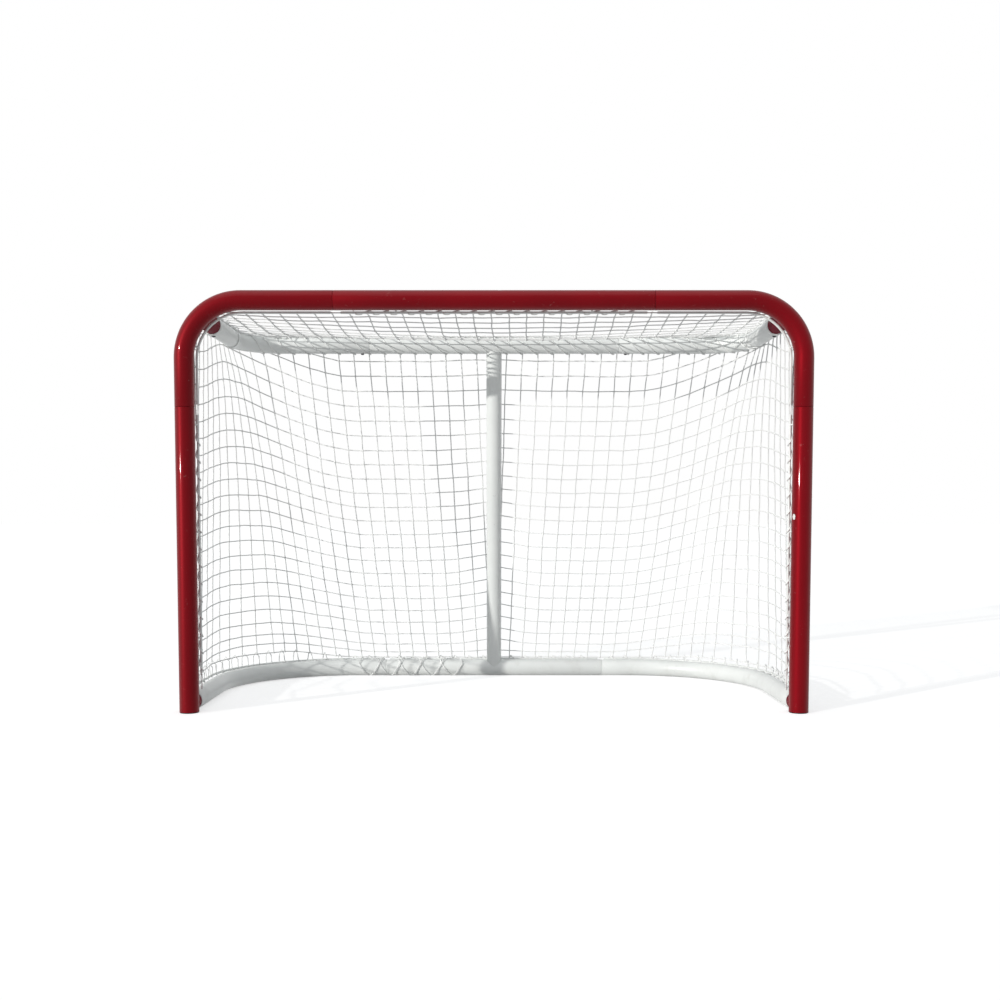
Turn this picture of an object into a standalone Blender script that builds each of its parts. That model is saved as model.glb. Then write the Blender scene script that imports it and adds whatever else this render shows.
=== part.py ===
"""Street hockey goal: a knock-down frame of steel tube with a laced net.

Units are metres, +Z is up, and the origin is on the ground at the middle of the
bounding box. The mouth of the goal faces -Y.

The red front frame is a crossbar, two bent corners and two posts. A white top
frame and a white base frame sleeve over stubs that are welded to it, and a
sloping upright stands between their rear bars. Straight tubes have swaged male
ends, bent tubes have plain female ends, and a screw pins each joint. Thin rods
on short lugs carry the edges of the net, which is laced to them.
"""
import math

import bmesh
import bpy
from mathutils import Vector

# Sizes of the goal
OPENING_WIDTH = 1.829          # between the posts
OPENING_HEIGHT = 1.232         # ground to underside of the crossbar
TOP_DEPTH = 0.604              # front plane to the rear bar of the top frame
BASE_DEPTH = 0.857             # front plane to the rear bar of the base frame
CORNER_RADIUS = 0.175          # bend between crossbar and post
TOP_BEND_RADIUS = 0.155
BASE_BEND_RADIUS = 0.450

# Tubes and their joints
TUBE_OD = 0.0603
TUBE_WALL = 0.0025
UPRIGHT_OD = 0.0547
UPRIGHT_WALL = 0.0025
FIT_GAP = 0.0003               # between a spigot and its socket, and between touching faces
INSERTION = 0.070              # length of a male end inside its socket
SWAGE_CONE = 0.004             # length of the step between full tube and male end
CROSSBAR_SEAM_X = 0.488
POST_SEAM_Z = 0.940
TOP_SEAM_X = 0.440
BASE_SEAM_X = 0.410
TOP_MOUTH_Y = 0.150            # where the white top arm starts, behind the front plane
BASE_MOUTH_Y = 0.045           # where the white base arm starts
WELD_PLUG = 0.010              # solid end of a stub behind its weld
UPRIGHT_SPIGOT = 0.060         # length of the spigots that carry the upright

# Screws and feet
SCREW_R = 0.0030
SCREW_HEAD_R = 0.0060
SCREW_HEAD_H = 0.0036
SCREW_SETBACK = 0.026          # seam to screw
SCREW_REACH = 0.0030           # shank past the inner wall
FOOT_FLANGE = 0.0022
FOOT_PLUG = 0.022

# Lacing rods
ROD_R = 0.0040
ROD_INWARD = 0.0325            # rod beside the opening edge of posts and crossbar
ROD_BACK = 0.0279              # and behind their centre plane
ROD_BASE_OUT = 0.0286          # base rods lie above and outside their tube
ROD_BASE_UP = 0.0286
LUG_R = 0.0030
CROSSBAR_ROD_X = 0.470
CORNER_ROD_X = 0.500
CORNER_ROD_LOW_Z = 0.950
POST_ROD_LOW_Z = 0.120
POST_ROD_HIGH_Z = 0.920
BASE_ROD_X = 0.398             # end of the rear rod
BASE_ARM_ROD_X = 0.420         # end of the arm rods at the rear
BASE_ARM_ROD_Y = 0.075         # and at the front

# Net and lacing cord
TWINE = 0.0040
CORD_R = 0.0015
NET_ROWS = 7
BAR_CELL = 0.150               # width of a gap along the rear bars
BAR_CELLS = 4                  # gaps on each side of the middle, before the corner
SIDE_CELLS = 3                 # gaps along each straight top arm
BEND_CELLS = 4                 # gaps round each top bend
BORDER_GAP = 0.0005            # tube to border strand
TOP_EDGE_SLOPE = math.radians(12.6)   # where the back net leaves the round of the rear bar
TOP_SAG = 0.022
ROW_SAG = 0.030
LOOP_SIDE_POINTS = 7           # points of a loop that stay square to the tube
LOOP_FRONT_POINTS = 2          # points of a loop that run along it
LOOP_FRONT_START = math.radians(125)
LOOP_FRONT_END = math.radians(235)
LOOP_EASE = 0.0003             # cord to what it wraps
LOOP_BEND_EASE = 0.0030        # more room where the border cuts a bend short
LOOP_LEAD = 0.012              # loop to where its cord lies along the rod
LEAST_CORD_GAP = 0.0004

# Facets
TUBE_SIDES = 16
SMALL_SIDES = 8
LUG_SIDES = 6
CORNER_STEPS = 6
TOP_BEND_STEPS = 6
BASE_BEND_STEPS = 8

# Worked out from the sizes above
TUBE_R = TUBE_OD / 2
BORE_R = TUBE_R - TUBE_WALL
SPIGOT_R = BORE_R - FIT_GAP
SPIGOT_BORE_R = SPIGOT_R - TUBE_WALL
UPRIGHT_R = UPRIGHT_OD / 2
UPRIGHT_BORE_R = UPRIGHT_R - UPRIGHT_WALL
UPRIGHT_SPIGOT_R = UPRIGHT_BORE_R - FIT_GAP
HALF_TWINE = TWINE / 2
BORDER_RISE = ROD_R + math.sqrt(2) * HALF_TWINE + FIT_GAP   # rod axis to border strand
POST_X = OPENING_WIDTH / 2 + TUBE_R
BAR_Z = OPENING_HEIGHT + TUBE_R
BASE_Z = TUBE_R
BEND_DROP = CORNER_RADIUS * (1 - math.sqrt(0.5))
SIDE_X = POST_X - BEND_DROP    # the top arms start from the middle of each corner bend
TOP_Z = BAR_Z - BEND_DROP
LACING_REACH = ROD_BASE_OUT + ROD_R + 2 * (LOOP_EASE + CORD_R)
FRONT_Y = -(BASE_DEPTH + LACING_REACH - TUBE_R) / 2
NET_FRONT_Y = ROD_BACK + BORDER_RISE
TOP_EDGE_OFFSET = TUBE_R + BORDER_GAP + 1.2 * HALF_TWINE
BORDER_TOP_Z = TOP_Z + TUBE_R + BORDER_GAP + HALF_TWINE
X_AXIS = Vector((1, 0, 0))
Y_AXIS = Vector((0, 1, 0))
Z_AXIS = Vector((0, 0, 1))


def new_material(name, colour, roughness, metallic=0.0):
    """A plain surface: colour, roughness and metallic value."""
    material = bpy.data.materials.new(name)
    material.use_nodes = True
    shader = material.node_tree.nodes["Principled BSDF"]
    shader.inputs["Base Color"].default_value = (*colour, 1)
    shader.inputs["Roughness"].default_value = roughness
    shader.inputs["Metallic"].default_value = metallic
    return material


def at(x, y, z):
    """A point given from the front plane of the goal, moved to the part's origin."""
    return Vector((x, FRONT_Y + y, z))


def add_object(name, mesh, material=None):
    """Link a mesh as an object; without a material it is a hidden cutter."""
    piece = bpy.data.objects.new(name, mesh)
    bpy.context.collection.objects.link(piece)
    if material is None:
        piece.hide_render = True
        piece.display_type = "WIRE"
    else:
        mesh.materials.append(material)
        mesh.shade_smooth()
        mesh.set_sharp_from_angle(angle=math.radians(35))
    return piece


def ring(centre, along, plane_normal, radius, sides=TUBE_SIDES):
    """Corner points of a round section, square to the direction of travel."""
    across = plane_normal.cross(along).normalized()
    points = []
    for index in range(sides):
        angle = math.tau * index / sides
        points.append(centre + radius * (math.cos(angle) * across + math.sin(angle) * plane_normal))
    return points


def skin_bodies(name, bodies):
    """One mesh from bodies, each a list of rings that is closed on itself or capped."""
    shape = bmesh.new()
    for rings, joined in bodies:
        loops = [[shape.verts.new(point) for point in points] for points in rings]
        pairs = list(zip(loops, loops[1:]))
        if joined:
            pairs.append((loops[-1], loops[0]))
        for near, far in pairs:
            count = len(near)
            for index in range(count):
                after = (index + 1) % count
                shape.faces.new((near[index], near[after], far[after], far[index]))
        if not joined:
            shape.faces.new(list(reversed(loops[0])))
            shape.faces.new(loops[-1])
    mesh = bpy.data.meshes.new(name)
    shape.to_mesh(mesh)
    shape.free()
    return mesh


def combine(piece, cutter, operation):
    """Join or cut with a Boolean that stays live on the piece."""
    modifier = piece.modifiers.new(operation.title(), "BOOLEAN")
    modifier.operation = operation
    modifier.solver = "EXACT"
    modifier.object = cutter


def rod_body(start, end, radius, sides, plane_normal):
    """A solid round bar between two points."""
    along = (end - start).normalized()
    return ([ring(start, along, plane_normal, radius, sides),
             ring(end, along, plane_normal, radius, sides)], False)


def round_path(start, corner, end, radius, steps):
    """Points and directions along two straight legs with a round bend between them."""
    first = (corner - start).normalized()
    second = (end - corner).normalized()
    centre = corner - first * radius + second * radius
    path = [(start, first)]
    for index in range(steps + 1):
        angle = math.pi / 2 * index / steps
        point = centre - second * radius * math.cos(angle) + first * radius * math.sin(angle)
        path.append((point, first * math.cos(angle) + second * math.sin(angle)))
    path.append((end, second))
    return path


def path_rings(path, plane_normal, radius, sides=TUBE_SIDES):
    """A round section at every point of a path."""
    return [ring(point, along, plane_normal, radius, sides) for point, along in path]


def past_ends(path, extra):
    """The same path, run on a little past both ends."""
    start, first = path[0]
    end, last = path[-1]
    return [(start - first * extra, first), *path[1:-1], (end + last * extra, last)]


def swaged_rings(start, end, plane_normal, full, narrow, male_start, male_end, extra=0.0):
    """Sections of a straight tube whose male ends step down over a short cone."""
    along = (end - start).normalized()
    sections = []
    if male_start:
        sections.append((start - along * (INSERTION + extra), narrow))
        sections.append((start, narrow))
        sections.append((start + along * SWAGE_CONE, full))
    else:
        sections.append((start - along * extra, full))
    if male_end:
        sections.append((end - along * SWAGE_CONE, full))
        sections.append((end, narrow))
        sections.append((end + along * (INSERTION + extra), narrow))
    else:
        sections.append((end + along * extra, full))
    return [ring(point, along, plane_normal, radius) for point, radius in sections]


def hole_body(seat, outward, plane_normal):
    """A cutter for the screw hole through both walls of a joint."""
    depth = 2 * TUBE_WALL + SCREW_REACH + 0.004
    return rod_body(seat - outward * depth, seat + outward * 0.004, SCREW_R + FIT_GAP,
                    SMALL_SIDES, plane_normal)


def screw_body(seat, outward, plane_normal):
    """A pan head on the outside of a joint and a shank through both walls."""
    under = seat + outward * FIT_GAP
    tip = seat - outward * (2 * TUBE_WALL + FIT_GAP + SCREW_REACH)
    rings = [ring(tip, outward, plane_normal, SCREW_R, SMALL_SIDES),
             ring(under, outward, plane_normal, SCREW_R, SMALL_SIDES),
             ring(under, outward, plane_normal, SCREW_HEAD_R, SMALL_SIDES),
             ring(under + outward * SCREW_HEAD_H * 0.5, outward, plane_normal,
                  SCREW_HEAD_R * 0.92, SMALL_SIDES),
             ring(under + outward * SCREW_HEAD_H, outward, plane_normal,
                  SCREW_HEAD_R * 0.5, SMALL_SIDES)]
    return (rings, False)


def screw_seats():
    """For each joint: its two seats, left and right, with outward and square directions."""
    bar_x = CROSSBAR_SEAM_X + SCREW_SETBACK
    post_z = POST_SEAM_Z + SCREW_SETBACK
    top_y = TOP_MOUTH_Y + SCREW_SETBACK
    top_x = TOP_SEAM_X + SCREW_SETBACK
    base_y = BASE_MOUTH_Y + SCREW_SETBACK
    base_x = BASE_SEAM_X + SCREW_SETBACK
    rear_y = BASE_DEPTH + TUBE_R
    under = TOP_Z - TUBE_R
    sides = (-1, 1)
    return {
        "crossbar": [(at(side * bar_x, TUBE_R, BAR_Z), Y_AXIS, X_AXIS) for side in sides],
        "post": [(at(side * POST_X, TUBE_R, post_z), Y_AXIS, X_AXIS) for side in sides],
        "top_arm": [(at(side * SIDE_X, top_y, under), -Z_AXIS, X_AXIS) for side in sides],
        "top_bar": [(at(side * top_x, TOP_DEPTH, under), -Z_AXIS, X_AXIS) for side in sides],
        "base_arm": [(at(side * (POST_X + TUBE_R), base_y, BASE_Z), side * X_AXIS, Y_AXIS)
                     for side in sides],
        "base_bar": [(at(side * base_x, rear_y, BASE_Z), Y_AXIS, X_AXIS) for side in sides]}


def cut_screw_holes(piece, seats):
    """Drill the screw holes that pass through a piece."""
    bodies = [hole_body(*seat) for seat in seats]
    cutter = add_object(piece.name + "_holes", skin_bodies(piece.name + "_holes", bodies))
    combine(piece, cutter, "DIFFERENCE")


def make_screws(seats, material):
    """A screw at every seat."""
    for joint, pair in seats.items():
        for word, seat in zip(("left", "right"), pair):
            name = word + "_" + joint + "_screw"
            add_object(name, skin_bodies(name, [screw_body(*seat)]), material)


def stubbed_tube(name, outer, bore, stubs, material):
    """A tube with welded stubs: solid outside, joined, then bored."""
    piece = add_object(name, skin_bodies(name, [(outer, False)]), material)
    stub_bodies = []
    bores = [(bore, False)]
    for start, along, plane_normal, reach, root, radius, inner in stubs:
        end = start + along * reach
        stub_bodies.append(rod_body(start, end, radius, TUBE_SIDES, plane_normal))
        blind = start + along * (root + WELD_PLUG)
        bores.append(rod_body(blind, end + along * 0.005, inner, TUBE_SIDES, plane_normal))
    joined = add_object(name + "_stubs", skin_bodies(name + "_stubs", stub_bodies))
    combine(piece, joined, "UNION")
    cutter = add_object(name + "_bores", skin_bodies(name + "_bores", bores))
    combine(piece, cutter, "DIFFERENCE")
    return piece


def plain_tube(name, outer, bore, material):
    """A tube with open ends."""
    return add_object(name, skin_bodies(name, [(outer + bore[::-1], True)]), material)


def corner_path(side):
    """Axis of a corner tube, from the crossbar seam round to the post seam."""
    return round_path(at(side * CROSSBAR_SEAM_X, 0, BAR_Z), at(side * POST_X, 0, BAR_Z),
                      at(side * POST_X, 0, POST_SEAM_Z), CORNER_RADIUS, CORNER_STEPS)


def make_front_frame(seats, material):
    """Crossbar, two corners and two posts."""
    left, right = at(-CROSSBAR_SEAM_X, 0, BAR_Z), at(CROSSBAR_SEAM_X, 0, BAR_Z)
    outer = swaged_rings(left, right, Y_AXIS, TUBE_R, SPIGOT_R, True, True)
    bore = swaged_rings(left, right, Y_AXIS, BORE_R, SPIGOT_BORE_R, True, True)
    crossbar = plain_tube("crossbar", outer, bore, material)
    cut_screw_holes(crossbar, seats["crossbar"])

    for index, (side, word) in enumerate(((-1, "left"), (1, "right"))):
        path = corner_path(side)
        stub = (at(side * SIDE_X, 0, TOP_Z), Y_AXIS, Z_AXIS, TOP_MOUTH_Y + INSERTION,
                TUBE_R, SPIGOT_R, SPIGOT_BORE_R)
        corner = stubbed_tube(word + "_corner", path_rings(path, Y_AXIS, TUBE_R),
                              path_rings(past_ends(path, 0.005), Y_AXIS, BORE_R), [stub], material)
        cut_screw_holes(corner, [seats["crossbar"][index], seats["post"][index],
                                 seats["top_arm"][index]])

        foot = at(side * POST_X, 0, FOOT_FLANGE + FIT_GAP)
        seam = at(side * POST_X, 0, POST_SEAM_Z)
        stub = (at(side * POST_X, 0, BASE_Z), Y_AXIS, Z_AXIS, BASE_MOUTH_Y + INSERTION,
                TUBE_R, SPIGOT_R, SPIGOT_BORE_R)
        post = stubbed_tube(word + "_post",
                            swaged_rings(foot, seam, Y_AXIS, TUBE_R, SPIGOT_R, False, True),
                            swaged_rings(foot, seam, Y_AXIS, BORE_R, SPIGOT_BORE_R, False, True,
                                         0.005), [stub], material)
        cut_screw_holes(post, [seats["post"][index], seats["base_arm"][index]])


def make_feet(material):
    """Plastic plugs that close the posts and stand on the ground."""
    for side, word in ((-1, "left"), (1, "right")):
        floor = at(side * POST_X, 0, 0)
        flange = floor + Z_AXIS * FOOT_FLANGE
        top = flange + Z_AXIS * FOOT_PLUG
        rings = [ring(floor, Z_AXIS, Y_AXIS, TUBE_R - FIT_GAP),
                 ring(flange, Z_AXIS, Y_AXIS, TUBE_R - FIT_GAP),
                 ring(flange, Z_AXIS, Y_AXIS, BORE_R - FIT_GAP),
                 ring(top, Z_AXIS, Y_AXIS, BORE_R - 2 * FIT_GAP)]
        add_object(word + "_foot", skin_bodies(word + "_foot", [(rings, False)]), material)


def make_rear_frames(seats, material):
    """The white top and base frames: bent arms and straight rear bars."""
    frames = (("top", TOP_Z, SIDE_X, TOP_DEPTH, TOP_BEND_RADIUS, TOP_SEAM_X, TOP_MOUTH_Y,
               TOP_BEND_STEPS, ("top_left_bend", "top_right_bend"), "top_rear_bar"),
              ("base", BASE_Z, POST_X, BASE_DEPTH, BASE_BEND_RADIUS, BASE_SEAM_X, BASE_MOUTH_Y,
               BASE_BEND_STEPS, ("base_left_arm", "base_right_arm"), "base_rear_bar"))
    top_axis = at(0, TOP_DEPTH, TOP_Z)
    base_axis = at(0, BASE_DEPTH, BASE_Z)
    for word, height, half_width, depth, radius, seam, mouth, steps, arms, bar in frames:
        for index, side in enumerate((-1, 1)):
            path = round_path(at(side * half_width, mouth, height),
                              at(side * half_width, depth, height),
                              at(side * seam, depth, height), radius, steps)
            arm = plain_tube(arms[index], path_rings(path, Z_AXIS, TUBE_R),
                             path_rings(path, Z_AXIS, BORE_R), material)
            cut_screw_holes(arm, [seats[word + "_arm"][index],
                                  seats[word + "_bar"][index]])
        left, right = at(-seam, depth, height), at(seam, depth, height)
        start, far = (top_axis, base_axis) if word == "top" else (base_axis, top_axis)
        spigot = (start, (far - start).normalized(), X_AXIS, TUBE_R + UPRIGHT_SPIGOT, TUBE_R,
                  UPRIGHT_SPIGOT_R, UPRIGHT_SPIGOT_R - UPRIGHT_WALL)
        rear = stubbed_tube(bar, swaged_rings(left, right, Z_AXIS, TUBE_R, SPIGOT_R, True, True),
                            swaged_rings(left, right, Z_AXIS, BORE_R, SPIGOT_BORE_R, True, True,
                                         0.005), [spigot], material)
        cut_screw_holes(rear, seats[word + "_bar"])


def make_upright(material):
    """The sloping tube between the rear bars, its ends coped to sit on them."""
    top = at(0, TOP_DEPTH, TOP_Z)
    base = at(0, BASE_DEPTH, BASE_Z)
    along = (top - base).normalized()
    path = [(base, along), (top, along)]
    upright = plain_tube("rear_upright", path_rings(path, X_AXIS, UPRIGHT_R),
                         path_rings(path, X_AXIS, UPRIGHT_BORE_R), material)
    copes = [rod_body(centre - X_AXIS * TUBE_OD, centre + X_AXIS * TUBE_OD, TUBE_R + FIT_GAP,
                      TUBE_SIDES, Z_AXIS) for centre in (top, base)]
    cutter = add_object("upright_copes", skin_bodies("upright_copes", copes))
    combine(upright, cutter, "DIFFERENCE")


def rail_point(run, half_width, depth, radius, steps, height):
    """Place and outward direction on a U-shaped rail, at a run from its rear middle.

    The run is positive towards the right arm and negative towards the left one.
    Round the bends the rail has the facets of its tube, and the outward direction
    is shorter between them, so that what is set off by it keeps to the facets too.
    """
    side = -1 if run < 0 else 1
    flat = half_width - radius
    bend = radius * math.pi / 2
    distance = abs(run)
    outward = Vector((0, 1, 0))
    if distance <= flat:
        return at(run, depth, height), outward
    turned = min(1.0, (distance - flat) / bend) * steps
    facet = min(int(turned), steps - 1)
    ends = []
    for corner in (facet, facet + 1):
        angle = math.pi / 2 * corner / steps
        ends.append(Vector((side * math.sin(angle), math.cos(angle), 0)))
    outward = ends[0].lerp(ends[1], turned - facet)
    past = max(0.0, distance - flat - bend)
    return at(side * flat, depth - radius - past, height) + radius * outward, outward


def top_rail(run):
    """Place and outward direction on the axis of the top frame."""
    return rail_point(run, SIDE_X, TOP_DEPTH, TOP_BEND_RADIUS, TOP_BEND_STEPS, TOP_Z)


def base_rail(run):
    """Place and outward direction on the axis of the base frame."""
    return rail_point(run, POST_X, BASE_DEPTH, BASE_BEND_RADIUS, BASE_BEND_STEPS, BASE_Z)


def rail_lengths(half_width, depth, radius, front):
    """Runs to the start of the bend, to its end and to the front of an arm."""
    flat = half_width - radius
    bend = flat + radius * math.pi / 2
    return flat, bend, bend + depth - radius - front


def net_runs():
    """Where the upright strands of the net meet the top and base frames, right half."""
    flat, bend, front = rail_lengths(SIDE_X, TOP_DEPTH, TOP_BEND_RADIUS, NET_FRONT_Y)
    middle = [BAR_CELL * index for index in range(BAR_CELLS + 1)]
    top = list(middle)
    top += [flat + (bend - flat) * index / BEND_CELLS for index in range(BEND_CELLS + 1)]
    top += [bend + (front - bend) * index / SIDE_CELLS for index in range(1, SIDE_CELLS + 1)]
    base_front = rail_lengths(POST_X, BASE_DEPTH, BASE_BEND_RADIUS, NET_FRONT_Y)[2]
    corner = len(top) - len(middle)
    base = list(middle)
    base += [middle[-1] + (base_front - middle[-1]) * index / corner
             for index in range(1, corner + 1)]
    return top, base


def net_surface_point(top_run, base_run, level, front_share):
    """A point of the hanging net between the two frames; level runs from 0 to 1, downwards."""
    flat, bend, _ = rail_lengths(SIDE_X, TOP_DEPTH, TOP_BEND_RADIUS, NET_FRONT_Y)
    axis, outward = top_rail(top_run)
    offset = TOP_EDGE_OFFSET
    if flat - 1e-6 <= abs(top_run) <= bend + 1e-6:
        half_step = math.pi / 4 / BEND_CELLS
        offset += (TOP_BEND_RADIUS + offset) * (1 / math.cos(half_step) - 1)
    high = axis + outward * offset * math.cos(TOP_EDGE_SLOPE)
    high.z += offset * math.sin(TOP_EDGE_SLOPE)
    axis, outward = base_rail(base_run)
    low = axis + outward * ROD_BASE_OUT
    low.z += ROD_BASE_UP + BORDER_RISE
    point = high.lerp(low, level)
    if front_share >= 1.0:
        side = -1 if top_run < 0 else 1
        if 0.0 < level < 1.0:
            inside = side * (POST_X - ROD_INWARD)
            point.x = high.x + (inside - high.x) * min(1.0, 2 * level)
        point.y = FRONT_Y + NET_FRONT_Y
    else:
        point.z -= ROW_SAG * math.sin(math.pi * level) * math.sin(math.pi * front_share)
    return point


def hanging_grid():
    """Crossing points of the hanging net, by column from front left round to front right."""
    top, base = net_runs()
    last = len(top) - 1
    grid = []
    for index in range(-last, last + 1):
        side = -1 if index < 0 else 1
        share = abs(index) / last
        grid.append([net_surface_point(side * top[abs(index)], side * base[abs(index)],
                                       row / NET_ROWS, share) for row in range(NET_ROWS + 1)])
    return grid


def roof_grid():
    """Crossing points of the roof net, by column from left to right, each from the front back."""
    flat = SIDE_X - TOP_BEND_RADIUS
    half = [BAR_CELL * index for index in range(1, BAR_CELLS + 1)] + [flat, SIDE_X]
    across = [-x for x in reversed(half)] + [0.0] + half
    straight = TOP_DEPTH - TOP_BEND_RADIUS - NET_FRONT_Y
    deep = [NET_FRONT_Y + straight * index / SIDE_CELLS for index in range(SIDE_CELLS + 1)]
    deep.append(TOP_DEPTH)
    pulled_in = TOP_BEND_RADIUS * (1 - math.sqrt(0.5))
    front = BAR_Z - ROD_INWARD
    grid = []
    for x in across:
        column = []
        for y in deep:
            reach = (y - NET_FRONT_Y) / (TOP_DEPTH - NET_FRONT_Y)
            spread = max(0.0, (abs(x) - flat) / TOP_BEND_RADIUS)
            height = front + (BORDER_TOP_Z - front) * max(reach, spread)
            height -= TOP_SAG * math.sin(math.pi * reach) * math.cos(math.pi * x / 2 / SIDE_X)
            at_corner = y == TOP_DEPTH and abs(x) == SIDE_X
            shift = pulled_in if at_corner else 0.0
            column.append(at(x - math.copysign(shift, x), y - shift, height))
        grid.append(column)
    return grid


def crossing_frames(grid):
    """For each crossing: the ways along the row, down the column and square to both."""
    frames = []
    for i, column in enumerate(grid):
        before, after = grid[max(i - 1, 0)], grid[min(i + 1, len(grid) - 1)]
        line = []
        for j in range(len(column)):
            along = (after[j] - before[j]).normalized()
            down = (column[min(j + 1, len(column) - 1)] - column[max(j - 1, 0)]).normalized()
            line.append((along, down, along.cross(down).normalized()))
        frames.append(line)
    return frames


def add_strand(shape, near, far):
    """The four sides of one strand between two crossings."""
    for index in range(4):
        after = (index + 1) % 4
        shape.faces.new((near[index], near[after], far[after], far[index]))


def strand_net(name, grid, frames, material):
    """A closed lattice of square strands through a grid of crossing points."""
    columns, rows = len(grid), len(grid[0])
    around = ((-1, -1), (1, -1), (1, 1), (-1, 1))
    shape = bmesh.new()
    corners = {}
    for i in range(columns):
        for j in range(rows):
            along, down, normal = frames[i][j]
            for a, d in around:
                for n in (-1, 1):
                    spot = grid[i][j] + HALF_TWINE * (a * along + d * down + n * normal)
                    corners[i, j, a, d, n] = shape.verts.new(spot)
    for i in range(columns):
        for j in range(rows):
            for n in (-1, 1):
                shape.faces.new([corners[i, j, a, d, n] for a, d in around])
            if i + 1 < columns:
                add_strand(shape, [corners[i, j, 1, d, n] for d, n in around],
                           [corners[i + 1, j, -1, d, n] for d, n in around])
            if j + 1 < rows:
                add_strand(shape, [corners[i, j, a, 1, n] for a, n in around],
                           [corners[i, j + 1, a, -1, n] for a, n in around])
            if i in (0, columns - 1):
                a = -1 if i == 0 else 1
                shape.faces.new([corners[i, j, a, d, n] for d, n in around])
            if j in (0, rows - 1):
                d = -1 if j == 0 else 1
                shape.faces.new([corners[i, j, a, d, n] for a, n in around])
    bmesh.ops.recalc_face_normals(shape, faces=shape.faces)
    mesh = bpy.data.meshes.new(name)
    shape.to_mesh(mesh)
    shape.free()
    add_object(name, mesh, material)


def make_nets(hanging, roof, material):
    """Left, back and right panels of the hanging net, side by side, and the roof net."""
    frames = crossing_frames(hanging)
    middle = len(hanging) // 2
    seams = (0, middle - BAR_CELLS, middle + BAR_CELLS, len(hanging) - 1)
    shift = HALF_TWINE + FIT_GAP / 2
    for name, first, last in (("net_left", seams[0], seams[1]), ("net_back", seams[1], seams[2]),
                              ("net_right", seams[2], seams[3])):
        panel = [list(column) for column in hanging[first:last + 1]]
        panel_frames = frames[first:last + 1]
        for end, seam, way in ((0, first, 1), (-1, last, -1)):
            if seam in seams[1:3]:
                panel[end] = [spot + way * shift * frame[0]
                              for spot, frame in zip(panel[end], panel_frames[end])]
        strand_net(name, panel, panel_frames, material)
    strand_net("net_top", roof, crossing_frames(roof), material)


def least_gap(points):
    """The least space between stretches of one cord that aren't neighbours, by sampling it."""
    samples = []
    distance = 0.0
    for near, far in zip(points, points[1:]):
        length = (far - near).length
        count = max(2, int(length / CORD_R))
        for index in range(count):
            samples.append((near.lerp(far, index / count), distance + length * index / count))
        distance += length
    least = distance
    for index, (spot, run) in enumerate(samples):
        for other, other_run in samples[index + 1:]:
            if other_run - run > 12 * CORD_R:
                least = min(least, (other - spot).length)
    return least - 2 * CORD_R


def add_cord(name, points, material):
    """One unbroken cord with straight ends, and its least gap to itself in the printout."""
    start = points[0] - (points[1] - points[0]).normalized() * 2 * CORD_R
    end = points[-1] + (points[-1] - points[-2]).normalized() * 2 * CORD_R
    route = [start, *points, end]
    gap = least_gap(route)
    print(name, "least gap to itself", round(gap * 1000, 2), "mm")
    if gap < LEAST_CORD_GAP:
        raise ValueError(name + " touches itself")
    curve = bpy.data.curves.new(name, "CURVE")
    curve.dimensions = "3D"
    curve.bevel_depth = CORD_R
    curve.bevel_resolution = 0
    curve.use_fill_caps = True
    spline = curve.splines.new("POLY")
    spline.points.add(len(route) - 1)
    for target, point in zip(spline.points, route):
        target.co = (*point, 1)
    curve.materials.append(material)
    cord = bpy.data.objects.new(name, curve)
    bpy.context.collection.objects.link(cord)


def make_top_lacing(material):
    """One cord round the whole top frame: a loop through each gap of the net.

    Each loop stays square to the tube where it passes through the nets, and runs
    along the tube on its inner face, where the next loop starts.
    """
    top, _ = net_runs()
    flat, bend, front = rail_lengths(SIDE_X, TOP_DEPTH, TOP_BEND_RADIUS, NET_FRONT_Y)
    middles = [(near + far) / 2 for near, far in zip(top, top[1:])][:-1]
    runs = [-run for run in reversed(middles)] + middles
    beside_bend = (flat - BAR_CELL, bend + (front - bend) / SIDE_CELLS)
    step = (math.tau - LOOP_FRONT_END + LOOP_FRONT_START) / (LOOP_SIDE_POINTS - 1)
    clear = (TOP_EDGE_OFFSET + 1.2 * HALF_TWINE + LOOP_EASE + CORD_R) / math.cos(step / 2)
    turns = [(LOOP_FRONT_END + step * k, 0.0) for k in range(LOOP_SIDE_POINTS)]
    slant = (LOOP_FRONT_END - LOOP_FRONT_START) / (LOOP_FRONT_POINTS + 1)
    turns += [(LOOP_FRONT_START + slant * k, k / (LOOP_FRONT_POINTS + 1))
              for k in range(1, LOOP_FRONT_POINTS + 1)]
    points = []
    for run, following in zip(runs, runs[1:] + [None]):
        for angle, share in turns:
            if following is None and share > 0:
                continue
            place = run if following is None else run + (following - run) * share
            axis, outward = top_rail(place)
            radius = clear
            if beside_bend[0] < abs(place) < beside_bend[1]:
                radius += LOOP_BEND_EASE
            points.append(axis + radius * (math.cos(angle) * outward + math.sin(angle) * Z_AXIS))
    add_cord("top_lacing", points, material)


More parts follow.
